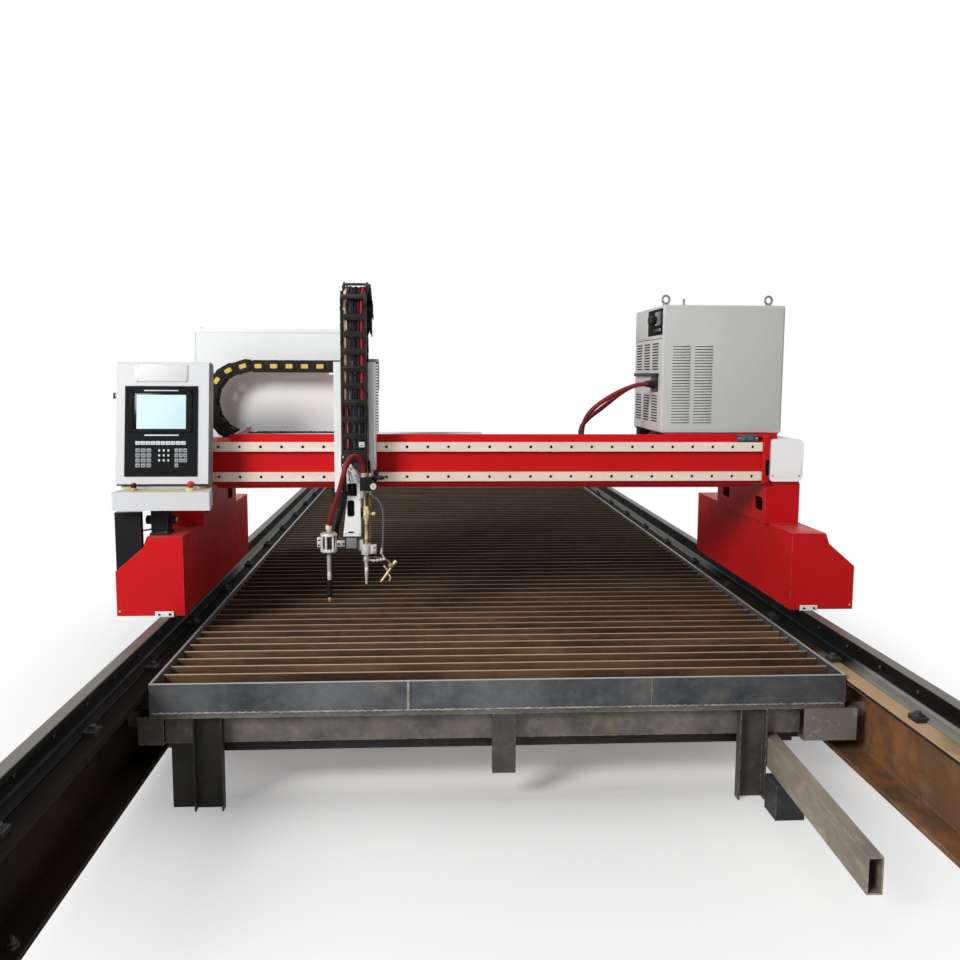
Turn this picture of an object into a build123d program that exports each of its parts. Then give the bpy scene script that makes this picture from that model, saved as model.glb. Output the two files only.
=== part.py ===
from build123d import *

import math
import os

os.makedirs("parts", exist_ok=True)

# Gantry cutting machine on ground rails. Millimetres, X across the machine, Y along the
# rails towards the far end, Z up from the floor. The origin is on the floor at mid length.

# Ground rails and the beams under them
rail_gauge = 3000
rail_length = 8400
pad_height = 160
pad_size = 200
pad_inset = 300
pad_count = 5
h_height = 340
h_width = 230
h_flange = 20
h_web = 12
rail_height = 107
rail_head = 51
rail_base = 92
rail_web = 11
head_depth = 22
head_taper = 5
foot_edge = 8
foot_rise = 10
foot_shoulder = 12
stop_length = 60
stop_height = 220
stop_width = 80
clamp_pitch = 700
clamp_length = 60
clamp_reach = 40
clamp_height = 18
clamp_bolt_r = 9
clamp_bolt_height = 10
clamp_nose = 6
clamp_gap = 0.5

# Racks and pinions of the long travel
rack_module = 6
rack_face = 40
rack_floor = 38
rack_back = 33
pinion_teeth = 18
pinion_shaft_r = 15
tooth_slack = 0.6
pressure_angle = 20
running_gap = 0.05
weld_gap = 0.2

# Slat table
table_setback = 1500
table_length = 6500
table_width = 2760
table_top = 520
skirt_height = 117
skirt_wall = 10
slat_pitch = 105
slat_wall = 6
slat_height = 100
slat_drop = 10
slat_first = 150
slat_side_gap = 8
tube_height = 115
tube_depth = 60
tube_setback = 46
tube_wall = 5
ledge_height = 23
ledge_setback = 2
rung_pitch = 1570
rung_height = 100
bearer_width = 40
bearer_offset = 450
low_tube_height = 65
low_tube_depth = 60
low_tube_gap = 14
leg_width = 112
leg_wall = 6
left_leg_x = -1162
right_leg_x = 1010
side_leg_x = 1160
side_leg_size = 80
post_size = 94
centre_stub_width = 93
centre_stub_drop = 245
right_stub_reach = 165
stub_height = 123
stub_depth = 80
stub_end = 1434
tie_height = 60
runner_width = 50
runner_height = 120
runner_length = 1110
runner_angle = 2.2
runner_x = 1100
runner_block_width = 114
runner_block_length = 120
runner_block_height = 130
runner_block_setback = 60
runner_shim = 10

# End carriages of the gantry
gantry_rest = 684
carriage_length = 1536
carriage_lift = 6
carriage_inner = 90
carriage_outer = 214
carriage_height = 365
shoulder_x = 70
shoulder_drop = 50
shoulder_step = 18
slope_drop = 158
sheet = 6
plate = 12
frame_outer_x = 42
frame_lift = 27
wheel_r = 75
wheel_lift = 0.4
wheel_inset = 180
tread_clearance = 3
flange_r = 83
flange_width = 8
axle_r = 20
hub_r = 32
hub_gap = 2
motor_plate_length = 240
motor_plate_width = 140
gearbox_size = 74
gearbox_height = 90
motor_size = 66
motor_height = 115

# Columns, beam and its rails
column_setback = 296
column_depth = 770
column_inner = 117
column_width = 172
column_wall = 8
column_top = 1165
cap_plate = 15
cap_overhang = 8
window_length = 115
window_height = 70
window_r = 20
window_ends = 40
window_lift = 55
beam_height = 210
beam_depth = 300
beam_wall = 10
beam_end_inset = 5
lip_height = 35
lip_wall = 5
lip_left = -1250
lip_right = 1390
guide_width = 45
guide_depth = 25
guide_span = 2700
guide_edge_low = 17
guide_edge_high = 3
guide_bolt_pitch = 100
guide_bolt_r = 7
beam_rack_module = 3
beam_rack_length = 2640
beam_rack_width = 30
beam_rack_setback = 20
beam_rack_back = 18
cover_inner_x = 115
cover_width = 172
cover_wall = 6
cover_front_gap = 19
cover_top_wall = 12
cover_lift = 12
cover_r = 28
stand_bar_width = 40
stand_bar_inset = 100
stand_bar_length = 570

# Energy chain along the beam
chain_height = 64
chain_width = 100
chain_bend_r = 184
chain_bend_x = -1225
chain_lower_length = 520
chain_side_gap = 7
chain_lay = 1
chain_sink = 39
trough_wall = 3
trough_depth = 60
trough_length = 1230
trough_lead = 270
lead_in_length = 112
lead_in_width = 20
lead_in_angle = 34

# Electrical cabinet behind the beam
cabinet_left = -1534
cabinet_width = 880
cabinet_depth = 260
cabinet_bottom = 1250
cabinet_top = 1946
cabinet_gap = 40
cabinet_wall = 3
cabinet_door = 12
arm_width = 50
arm_height = 60
arm_inset = 160
hinge_r = 6

# Power source on the right of the beam
power_left = 845
power_width = 605
power_depth = 600
power_height = 624
power_setback = 8
power_foot_r = 20
power_foot_height = 6
eye_r = 16
eye_wire_r = 4
eye_inset = 20
eye_setback = 40
eye_right_inset = 73
lug_r = 5
lug_height = 25
lug_inset = 109
outlet_r = 17
outlet_length = 30
outlet_spacing = 50
outlet_y = 135
outlet_drop = 385
cable_r = 11
gland_r = 16

# Operator console
post_x = -1530
post_setback = 106
console_post_size = 76
post_foot_length = 120
post_foot_width = 80
foot_plate = 8
shelf_left = 173
shelf_right = 261
shelf_front = 160
shelf_back = 60
shelf_taper = 40
shelf_height = 83
shelf_level = 1105
console_left = 189
console_right = 226
console_depth = 90
console_height = 564
console_forward = 40
console_lean = 9
console_foot = 22
console_foot_inset = 40
console_chamfer = 14
panel_x = 13
panel_width = 328
panel_height = 415
panel_drop = 114
panel_wall = 4
clamp_knob_r = 18
clamp_knob_length = 28
clamp_knob_drop = 65
estop_x = 160
estop_y = -88
estop_r = 20
estop_stem_r = 11
estop_height = 22
estop_travel = 6
collar_r = 24
collar_height = 12
key_x = -94
key_r = 9
key_height = 14
duct_setback = 16
duct_depth = 40
duct_inner = 100

# Cross carriage and lifter
cross_x = -641.5
cross_width = 193
cross_bottom = 1160
cross_top = 1770
cross_plate_wall = 20
cross_gap = 30
housing_depth = 65
housing_wall = 8
flange_left_width = 33
flange_right_width = 32
flange_wall = 6
right_wall_bottom = 1265
block_length = 70
block_inset = 8
block_height = 89
slide_gap = 0.3
z_rail_width = 20
z_rail_depth = 17
z_rail_inset = 5
screw_r = 7
screw_inset = 21.5
screw_setback = 30
bearing_height = 20
z_motor_size = 40
z_motor_height = 130
z_motor_gap = 2
z_motor_reach = 13
belt_cover = 14
pinion_offset = -80
cross_pinion_teeth = 20
cross_pinion_shaft_r = 8
cross_motor_size = 80
cross_motor_length = 150
bracket_wall = 10
bracket_drop = 90
z_chain_width = 120
z_chain_height = 48
z_chain_bend_r = 75
z_chain_top = 2134
z_chain_rear_length = 375
z_chain_front_gap = 2
holder_wall = 6
holder_height = 130
holder_gap = 1

slider_width = 118
slider_wall = 10
slider_bottom = 1165
slider_top = 1620
shoe_height = 60
shoe_width = 56
shoe_depth = 17
shoe_low = 1290
shoe_high = 1540
nut_height = 40
nut_width = 26
nut_level = 1440
lifter_width = 82
lifter_depth = 85
lifter_bottom = 957
lifter_x = -656
lifter_taper = 21
lifter_shoulder = 1140
hood_bottom = 1213
hood_top = 1300
hood_slope = 48
hood_inset_left = 17
hood_inset_right = 5
slot_width = 34
slot_height = 78
slot_level = 1088
slot_x = -660
small_slot_level = 975
small_slot_height = 9
recess = 20
chain_foot_height = 30
chain_foot_level = 1310

# Torches, clamps and hoses
clamp_level = 905
clamp_bar_height = 34
clamp_bar_depth = 40
neck_width = 52
plasma_x = -767
torch_setback = 30
plasma_shaft_r = 10
plasma_tip_r = 13
plasma_nozzle_r = 8
plasma_top = 985
plasma_shaft_bottom = 745
plasma_tip_bottom = 660
plasma_bottom = 637
cage_r = 40
cage_bottom = 880
cage_top = 966
cage_ring = 16
cage_bar_r = 6
cage_bars = 6
flame_x = -592
flame_r = 9
flame_head_level = 1036
flame_head_height = 46
flame_head_width = 34
flame_nozzle_top = 770
flame_bottom = 712
flame_nozzle_r = 5
gas_tube_r = 5
gas_tube_spacing = 13
valve_r = 9
valve_length = 16
valve_stem_r = 4
valve_stem_length = 10
igniter_x = -520
igniter_top = 870
igniter_bottom = 722
igniter_shift = 28
igniter_rod_r = 6
igniter_bracket_r = 4
igniter_level = 842
hose_r = 12
fitting_r = 13
fitting_height = 18
gas_hose_r = 6
igniter_hose_r = 5
conduit_root_r = 10
conduit_crest_r = 12.5
conduit_bore_r = 7.5
conduit_pitch = 6
conduit_plain = 26
conduit_gap = 2.2
conduit_shelf_width = 30
conduit_shelf_depth = 44
conduit_shelf_wall = 10
gas_block_right = 32
gas_block_depth = 60
gas_block_setback = 20
gas_block_bottom = 1175
gas_block_top = 1237
gauge_r = 14
gauge_length = 22
gauge_rise = 20
spout_r = 7
spout_length = 55


def keep(piece, label):
    """Name a finished piece and write its file."""
    piece.part.label = label
    export_step(piece.part, f"parts/{label}.step")


def block(x, y, z, mode=Mode.ADD):
    """Box between two corners; each argument holds its two ends."""
    size = [abs(ends[1] - ends[0]) for ends in (x, y, z)]
    with Locations(tuple((ends[0] + ends[1]) / 2 for ends in (x, y, z))):
        Box(*size, mode=mode)


def hollow(x, y, z, wall, open_axis=None):
    """Sheet box or tube between two corners; it is open through along open_axis."""
    block(x, y, z)
    inside = []
    for axis, ends in enumerate((x, y, z)):
        low, high = min(ends), max(ends)
        inside.append((low, high) if axis == open_axis else (low + wall, high - wall))
    block(*inside, mode=Mode.SUBTRACT)


def rod_x(x, y, z, radius, mode=Mode.ADD):
    """Round bar along X between the two ends of x."""
    with Locations(((x[0] + x[1]) / 2, y, z)):
        Cylinder(radius, abs(x[1] - x[0]), rotation=(0, 90, 0), mode=mode)


def rod_y(x, y, z, radius, mode=Mode.ADD):
    """Round bar along Y between the two ends of y."""
    with Locations((x, (y[0] + y[1]) / 2, z)):
        Cylinder(radius, abs(y[1] - y[0]), rotation=(90, 0, 0), mode=mode)


def rod_z(x, y, z, radius, mode=Mode.ADD):
    """Upright round bar between the two ends of z."""
    with Locations((x, y, (z[0] + z[1]) / 2)):
        Cylinder(radius, abs(z[1] - z[0]), mode=mode)


def gear_points(module, teeth, turn):
    """Outline of a spur gear with involute flanks, its first tooth pointing at angle turn."""
    pitch_r = module * teeth / 2
    alpha = math.radians(pressure_angle)
    base_r = pitch_r * math.cos(alpha)
    root_r = pitch_r - 1.25 * module
    tip_r = pitch_r + module
    half = math.pi / (2 * teeth) - tooth_slack / (2 * pitch_r) + math.tan(alpha) - alpha
    flank = []
    for step in range(4):
        radius = base_r + (tip_r - base_r) * step / 3
        roll = math.sqrt((radius / base_r) ** 2 - 1)
        flank.append((radius, half - (roll - math.atan(roll))))
    points = []
    for tooth in range(teeth):
        middle = turn + 2 * math.pi * tooth / teeth
        rising = [(root_r, -half)] + [(radius, -angle) for radius, angle in flank]
        falling = [(radius, angle) for radius, angle in reversed(flank)] + [(root_r, half)]
        for radius, angle in rising + falling:
            points.append((radius * math.cos(middle + angle), radius * math.sin(middle + angle)))
    return points


def rack_points(module, low, high, gap_at, back):
    """Outline of a rack along the first axis, teeth up from its pitch line at zero.

    A gap between two teeth lies at gap_at, and the back edge lies at minus back.
    """
    pitch = math.pi * module
    slope = math.tan(math.radians(pressure_angle))
    half = pitch / 4 - tooth_slack / 2
    root, tip = -1.25 * module, module
    first = math.ceil((low + pitch - gap_at) / pitch - 0.5)
    last = math.floor((high - pitch - gap_at) / pitch - 0.5)
    points = [(low, -back), (low, root)]
    for tooth in range(first, last + 1):
        middle = gap_at + (tooth + 0.5) * pitch
        points.append((middle - half + root * slope, root))
        points.append((middle - half + tip * slope, tip))
        points.append((middle + half - tip * slope, tip))
        points.append((middle + half - root * slope, root))
    return points + [(high, root), (high, -back)]


def corner_radii(points):
    """Arc radius at each inner point of a route, as large as its two runs allow."""
    radii = []
    for before, here, after in zip(points, points[1:], points[2:]):
        first, second = here - before, after - here
        turn = math.radians(first.get_angle(second))
        radii.append(0.45 * min(first.length, second.length) / math.tan(turn / 2))
    return radii


def ribbed_hose(route):
    """Add a ribbed hose with its bore along a route of hand-chosen points."""
    points = [Vector(*point) for point in route]
    with BuildLine() as path:
        FilletPolyline(*points, radius=corner_radii(points))
    line = path.wire()
    ribs = int((line.length - 2 * conduit_plain) / conduit_pitch)
    first = (line.length - ribs * conduit_pitch) / 2
    rings = [(0, conduit_root_r)]
    for number in range(ribs):
        start = first + number * conduit_pitch
        for share, radius in ((0.1, conduit_root_r), (0.3, conduit_crest_r), (0.7, conduit_crest_r),
                              (0.9, conduit_root_r)):
            rings.append((start + share * conduit_pitch, radius))
    rings.append((line.length, conduit_root_r))
    sections = []
    for reach, radius in rings:
        spot = line.position_at(reach, position_mode=PositionMode.LENGTH)
        along = line.tangent_at(reach, position_mode=PositionMode.LENGTH)
        with BuildSketch(Plane(spot, x_dir=(0, 1, 0), z_dir=along)) as ring:
            Circle(radius)
        sections.append(ring.sketch)
    loft(sections, ruled=True)
    with BuildSketch(Plane(line @ 0, z_dir=line % 0)) as bore:
        Circle(conduit_bore_r)
    sweep(bore.sketch, path=line, mode=Mode.SUBTRACT)
    print("ribbed hose length", round(line.length), "ribs", ribs)


def hose(label, routes, ribbed_route=None):
    """One node of round hoses, each a route of hand-chosen points and a radius, and a ribbed one."""
    with BuildPart() as piece:
        for route, radius in routes:
            points = [Vector(*point) for point in route]
            radii = corner_radii(points)
            with BuildLine() as path:
                FilletPolyline(*points, radius=radii)
            before = piece.part.volume if piece.part else 0
            with BuildSketch(Plane(path.line @ 0, z_dir=path.line % 0)):
                Circle(radius)
            sweep(path=path.line)
            length = path.wire().length
            share = (piece.part.volume - before) / (math.pi * radius**2 * length)
            print(label, "radii", [round(value) for value in radii], "length", round(length),
                  "volume over section times length", round(share, 3))
        if ribbed_route:
            ribbed_hose(ribbed_route)
    keep(piece, label)


# Places worked out from the sizes
half_gauge = rail_gauge / 2
half_rail = rail_length / 2
flange_top = pad_height + h_height
rail_top = flange_top + rail_height
table_front = -half_rail + table_setback
table_rear = table_front + table_length
table_half = table_width / 2
skirt_bottom = table_top - skirt_height
carriage_front = table_front + gantry_rest
carriage_rear = carriage_front + carriage_length
carriage_mid = (carriage_front + carriage_rear) / 2
carriage_bottom = rail_top + carriage_lift
carriage_top = carriage_bottom + carriage_height
beam_front = carriage_front + column_setback
beam_rear = beam_front + beam_depth
beam_bottom = column_top + cap_plate
beam_top = beam_bottom + beam_height
sides = ((-1, "left"), (1, "right"))


# Pads under the rail beams, one row on each side
with BuildPart() as pads:
    for side, name in sides:
        for number in range(pad_count):
            step = (rail_length - 2 * pad_inset) / (pad_count - 1)
            pad_y = -half_rail + pad_inset + number * step
            pad_x = side * half_gauge
            foot = pad_height / 10
            block((pad_x - pad_size / 2, pad_x + pad_size / 2),
                  (pad_y - pad_size / 2, pad_y + pad_size / 2), (0, foot))
            block((pad_x - pad_size / 3, pad_x + pad_size / 3),
                  (pad_y - pad_size / 3, pad_y + pad_size / 3), (foot, pad_height - foot))
            block((pad_x - pad_size / 2, pad_x + pad_size / 2),
                  (pad_y - pad_size / 2, pad_y + pad_size / 2), (pad_height - foot, pad_height))
keep(pads, "rail_pads")

# Rail beams: H sections with a welded stop at each end
for side, name in sides:
    x = side * half_gauge
    with BuildPart() as rail_beam:
        with BuildSketch(Plane.XZ):
            with Locations((x, pad_height + h_height / 2)):
                Rectangle(h_width, h_height)
            notch = (h_width - h_web) / 2
            for turn in (-1, 1):
                with Locations((x + turn * (h_web + notch) / 2, pad_height + h_height / 2)):
                    Rectangle(notch, h_height - 2 * h_flange, mode=Mode.SUBTRACT)
        extrude(amount=half_rail, both=True)
        for end in (-1, 1):
            block((x - stop_width / 2, x + stop_width / 2),
                  (end * half_rail, end * (half_rail - stop_length)),
                  (flange_top + weld_gap, flange_top + stop_height))
    keep(rail_beam, f"rail_beam_{name}")

# Running rails between the stops
rail_outline = [
    (rail_base / 2, 0),
    (rail_base / 2, foot_edge),
    (foot_shoulder, foot_edge + foot_rise),
    (rail_web / 2, foot_edge + foot_rise + foot_shoulder - rail_web / 2),
    (rail_web / 2, rail_height - head_depth - head_taper),
    (rail_head / 2, rail_height - head_depth),
    (rail_head / 2, rail_height),
]
for side, name in sides:
    with BuildPart() as rail:
        with BuildSketch(Plane.XZ) as section:
            with BuildLine(Location((side * half_gauge, flange_top))):
                Polyline(*rail_outline, *[(-u, w) for u, w in reversed(rail_outline)], close=True)
            make_face()
            fillet(section.vertices().group_by(Axis.Y)[-1], rail_head / 10)
        extrude(amount=half_rail - stop_length, both=True)
    keep(rail, f"rail_{name}")

# Racks on the outer side of each rail's web; the pinions stand at mid carriage
rack_pitch_x = rail_web / 2 + rack_back
pinion_r = rack_module * pinion_teeth / 2
pinion_x = rack_pitch_x + pinion_r
rack_level = flange_top + rack_floor
with BuildPart() as racks:
    for side, name in sides:
        outline = rack_points(rack_module, -half_rail + stop_length, half_rail - stop_length,
                              carriage_mid, rack_back)
        with BuildSketch(Plane.XY.offset(rack_level)):
            with BuildLine():
                Polyline(*[(side * (half_gauge + rack_pitch_x + w), u) for u, w in outline],
                         close=True)
            make_face()
        extrude(amount=rack_face)
keep(racks, "rail_racks")

# Rail clamps, in pairs astride each rail's foot
with BuildPart() as clamps:
    count = math.floor((rail_length - clamp_pitch) / clamp_pitch)
    nose_under = foot_edge + clamp_nose * foot_rise / (rail_base / 2 - foot_shoulder) + clamp_gap
    edge = rail_base / 2 + clamp_gap
    places = [-half_rail + clamp_pitch * (number + 0.5) for number in range(count + 1)]
    for side, name in sides:
        for turn in (-1, 1):
            clamp_plane = Plane(origin=(side * half_gauge, 0, flange_top), x_dir=(turn, 0, 0),
                                z_dir=(0, -turn, 0))
            with BuildSketch(*[clamp_plane.offset(-turn * place - clamp_length / 2) for place in places]):
                with BuildLine():
                    Polyline((edge, 0), (edge + clamp_reach, 0), (edge + clamp_reach, clamp_height),
                             (edge - clamp_nose, clamp_height), (edge - clamp_nose, nose_under),
                             (edge, nose_under), close=True)
                make_face()
            extrude(amount=clamp_length)
            bolt_x = side * half_gauge + turn * (edge + clamp_reach / 2)
            bolt_z = flange_top + clamp_height + clamp_bolt_height / 2
            with Locations(*[(bolt_x, place, bolt_z) for place in places]):
                Cylinder(clamp_bolt_r, clamp_bolt_height)
keep(clamps, "rail_clamps")

# Table skirt of four welded plates
skirt_heights = (skirt_bottom, table_top)
for label, ends in (("front", (table_front, table_front + skirt_wall)),
                    ("rear", (table_rear - skirt_wall, table_rear))):
    with BuildPart() as skirt:
        block((-table_half, table_half), ends, skirt_heights)
    keep(skirt, f"table_skirt_{label}")
for side, name in sides:
    with BuildPart() as skirt_side:
        block((side * (table_half - skirt_wall), side * table_half),
              (table_front + skirt_wall, table_rear - skirt_wall), skirt_heights)
    keep(skirt_side, f"table_side_{name}")

# Slats on edge across the table
slat_top = table_top - slat_drop
slat_bottom = slat_top - slat_height
slat_half = table_half - skirt_wall - slat_side_gap
with BuildPart() as slats:
    slat_count = math.floor((table_length - 2 * slat_first) / slat_pitch) + 1
    slat_mid = (slat_bottom + slat_top) / 2
    with Locations(*[(0, table_front + slat_first + number * slat_pitch, slat_mid)
                     for number in range(slat_count)]):
        Box(2 * slat_half, slat_wall, slat_height)
keep(slats, "table_slats")

# Welded frame under the skirt
ledge_bottom = skirt_bottom - ledge_height
tube_bottom = ledge_bottom - tube_height
tube_rear = table_front + tube_setback + tube_depth
tube_left = -table_half + tube_setback
tube_right = table_half - right_stub_reach
web_face = half_gauge - h_web / 2
low_tube_front = tube_rear + low_tube_gap
rung_z = (skirt_bottom - rung_height, skirt_bottom)
low_rear = low_tube_front + low_tube_depth
rung_count = math.floor(table_length / rung_pitch)
rung_places = [table_front + rung_pitch * (number + 1) for number in range(rung_count)
               if rung_pitch * (number + 1) < table_length - rung_pitch / 2]
with BuildPart() as frame:
    for end, edge in ((1, table_front), (-1, table_rear)):
        tube_ends = (edge + end * tube_setback, edge + end * (tube_setback + tube_depth))
        block((-table_half, table_half), (edge + end * ledge_setback, tube_ends[1]),
              (ledge_bottom, skirt_bottom))
        hollow((tube_left, tube_right), tube_ends, (tube_bottom, ledge_bottom - weld_gap), tube_wall, 0)
    for side, name in sides:
        hollow((side * (table_half - tube_depth), side * table_half),
               (tube_rear + weld_gap, table_rear - tube_setback - tube_depth - weld_gap), rung_z,
               tube_wall, 1)
    rung_half = table_half - tube_depth - weld_gap
    for rung_y in rung_places:
        hollow((-rung_half, rung_half), (rung_y - tube_depth / 2, rung_y + tube_depth / 2), rung_z,
               tube_wall, 0)
    for bearer_x in (bearer_width / 2 - slat_half, -bearer_offset, bearer_offset,
                     slat_half - bearer_width / 2):
        block((bearer_x - bearer_width / 2, bearer_x + bearer_width / 2),
              (table_front + skirt_wall, table_rear - skirt_wall),
              (skirt_bottom + weld_gap, slat_bottom))
    hollow((left_leg_x, tube_right), (low_tube_front, low_rear),
           (tube_bottom - low_tube_height, tube_bottom), tube_wall, 0)
    for lug_x in (-bearer_offset, bearer_offset):
        block((lug_x - bearer_width / 2, lug_x + bearer_width / 2), (tube_rear + weld_gap, low_rear),
              (tube_bottom + weld_gap, tube_bottom + bearer_width))
    tie_z = (ledge_bottom - weld_gap - tie_height, ledge_bottom - weld_gap)
    hollow((-stub_end, tube_left - weld_gap), (tube_rear - stub_depth, tube_rear),
           (tube_bottom, ledge_bottom - weld_gap), tube_wall, 0)
    block((-web_face, weld_gap - stub_end), (tube_rear - skirt_wall, tube_rear), tie_z)
    hollow((tube_right + weld_gap, stub_end),
           (table_front + ledge_setback, table_front + ledge_setback + stub_depth),
           (ledge_bottom - stub_height - ledge_height / 2, ledge_bottom - weld_gap), tube_wall, 0)
    stub_rear = table_front + ledge_setback + stub_depth
    block((stub_end - weld_gap, web_face), (stub_rear - skirt_wall, stub_rear), tie_z)
keep(frame, "table_frame")

# Legs: two channels and a post in front, a short stub, and posts down both sides
with BuildPart() as legs:
    channel_depth = tube_setback - ledge_setback
    channel_front = table_front + ledge_setback
    for leg_x in (left_leg_x, right_leg_x):
        across = (leg_x - leg_width / 2, leg_x + leg_width / 2)
        block(across, (channel_front, channel_front + channel_depth), (0, ledge_bottom))
        block((across[0] + leg_wall, across[1] - leg_wall),
              (channel_front, channel_front + channel_depth - leg_wall), (0, ledge_bottom),
              mode=Mode.SUBTRACT)
    stub_half = centre_stub_width / 2
    block((-stub_half, stub_half), (channel_front, channel_front + channel_depth),
          (ledge_bottom - centre_stub_drop, ledge_bottom))
    post_right = left_leg_x - leg_width / 2
    block((post_right - post_size, post_right),
          (table_front + tube_setback, table_front + tube_setback + tube_depth), (0, tube_bottom))
    for side, name in sides:
        rear_tube = table_rear - tube_setback - tube_depth / 2
        for leg_y, leg_top in [(place, skirt_bottom - rung_height) for place in rung_places] + [
                (rear_tube, tube_bottom)]:
            size = min(side_leg_size, tube_depth)
            hollow((side * side_leg_x - side_leg_size / 2, side * side_leg_x + side_leg_size / 2),
                   (leg_y - size / 2, leg_y + size / 2), (0, leg_top), tube_wall)
keep(legs, "table_legs")

# Uncut runner in front of the right leg, on its block and shim
block_rear = table_front - runner_block_setback
with BuildPart() as runner_block:
    block_x = runner_x - runner_block_setback * math.tan(math.radians(runner_angle))
    block((block_x - runner_block_width / 2, block_x + runner_block_width / 2),
          (block_rear - runner_block_length, block_rear), (0, runner_block_height))
    block((block_x - runner_block_width / 2, block_x + runner_width / 2),
          (block_rear - runner_block_length, block_rear),
          (runner_block_height, runner_block_height + runner_shim))
keep(runner_block, "runner_block")
with BuildPart() as runner:
    runner_bottom = runner_block_height + runner_shim
    runner_rear = low_tube_front + runner_width
    runner_plane = Plane(origin=(runner_x, runner_rear, runner_bottom)).rotated((0, 0, -runner_angle))
    with BuildSketch(runner_plane):
        with Locations((0, -runner_length / 2)):
            Rectangle(runner_width, runner_length)
    extrude(amount=runner_height)
    wall = runner_width / 10
    with BuildSketch(runner_plane.offset(wall)):
        with Locations((0, -runner_length / 2)):
            Rectangle(runner_width - 2 * wall, runner_length)
    extrude(amount=runner_height - 2 * wall, mode=Mode.SUBTRACT)
    block((runner_x - runner_width, runner_x + runner_width), (low_tube_front, runner_rear + runner_width),
          (runner_bottom, runner_bottom + runner_height), mode=Mode.SUBTRACT)
keep(runner, "table_runner")

# End carriage shells: bent sheet boxes, open below, with a sloped outer shoulder
shell_outline = [
    (-carriage_inner, carriage_bottom),
    (-carriage_inner, carriage_top),
    (shoulder_x, carriage_top),
    (shoulder_x + shoulder_step, carriage_top - shoulder_drop),
    (carriage_outer, carriage_top - slope_drop),
    (carriage_outer, carriage_bottom),
]
for side, name in sides:
    with BuildPart() as shell:
        with BuildSketch(Plane.XZ.offset(-carriage_mid)):
            with BuildLine():
                Polyline(*[(side * (half_gauge + u), w) for u, w in shell_outline], close=True)
            make_face()
        extrude(amount=carriage_length / 2, both=True)
        offset(amount=-sheet, openings=shell.faces().sort_by(Axis.Z)[0])
    keep(shell, f"carriage_shell_{name}")

# Frames inside the shells, with the axle bores and the motor plate
frame_bottom = carriage_bottom + frame_lift
frame_top = carriage_top - sheet
frame_ends = (carriage_front + sheet, carriage_rear - sheet)
wheel_places = (carriage_front + wheel_inset, carriage_rear - wheel_inset)
axle_level = rail_top + wheel_r
inner_plate = (-carriage_inner + sheet, -carriage_inner + sheet + plate)
outer_plate = (frame_outer_x, frame_outer_x + plate)
motor_plate_ends = (outer_plate[1], outer_plate[1] + motor_plate_width)
with BuildPart() as frames:
    for side, name in sides:
        for plate_ends in (inner_plate, outer_plate):
            block([side * (half_gauge + u) for u in plate_ends], frame_ends, (frame_bottom, frame_top))
        for brace_y in (carriage_mid - motor_plate_length, carriage_mid + motor_plate_length):
            block((side * (half_gauge + inner_plate[1]), side * (half_gauge + outer_plate[0])),
                  (brace_y - plate / 2, brace_y + plate / 2), (frame_bottom, frame_top))
        block([side * (half_gauge + u) for u in motor_plate_ends],
              (carriage_mid - motor_plate_length / 2, carriage_mid + motor_plate_length / 2),
              (frame_bottom, frame_bottom + plate))
        bore_ends = [side * (half_gauge + u) for u in (inner_plate[0], outer_plate[1])]
        for wheel_y in wheel_places:
            rod_x(bore_ends, wheel_y, axle_level, axle_r + running_gap, mode=Mode.SUBTRACT)
        rod_z(side * (half_gauge + pinion_x), carriage_mid, (frame_bottom, frame_bottom + plate),
              pinion_shaft_r + running_gap, mode=Mode.SUBTRACT)
keep(frames, "carriage_frames")

# Running wheels with their axles
for side, name in sides:
    for wheel_y, place in zip(wheel_places, ("front", "rear")):
        with BuildPart() as wheel:
            x = side * half_gauge
            tread_half = rail_head / 2 + tread_clearance
            rod_x((x - tread_half, x + tread_half), wheel_y, axle_level, wheel_r - wheel_lift)
            for turn in (-1, 1):
                rod_x((x + turn * tread_half, x + turn * (tread_half + flange_width)), wheel_y,
                      axle_level, flange_r)
            hub_ends = (inner_plate[1] + hub_gap, outer_plate[0] - hub_gap)
            rod_x([x + side * u for u in hub_ends], wheel_y, axle_level, hub_r)
            axle_ends = (inner_plate[0] + hub_gap, outer_plate[1] + hub_gap)
            rod_x([x + side * u for u in axle_ends], wheel_y, axle_level, axle_r)
        keep(wheel, f"wheel_{name}_{place}")

# Drive pinions on upright shafts
for side, name in sides:
    with BuildPart() as pinion:
        centre = (side * (half_gauge + pinion_x), carriage_mid)
        turn = math.pi if side > 0 else 0
        with BuildSketch(Plane(origin=(*centre, rack_level))):
            with BuildLine():
                Polyline(*gear_points(rack_module, pinion_teeth, turn), close=True)
            make_face()
        extrude(amount=rack_face)
        rod_z(*centre, (rack_level + rack_face, frame_bottom + plate - hub_gap), pinion_shaft_r)
    keep(pinion, f"drive_pinion_{name}")

# Drive motors with their gearboxes, standing on the motor plates
with BuildPart() as motors:
    for side, name in sides:
        x = side * (half_gauge + pinion_x)
        level = frame_bottom + plate
        for size, height in ((gearbox_size, gearbox_height), (motor_size, motor_height)):
            block((x - size / 2, x + size / 2), (carriage_mid - size / 2, carriage_mid + size / 2),
                  (level, level + height))
            level += height
keep(motors, "drive_motors")

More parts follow.
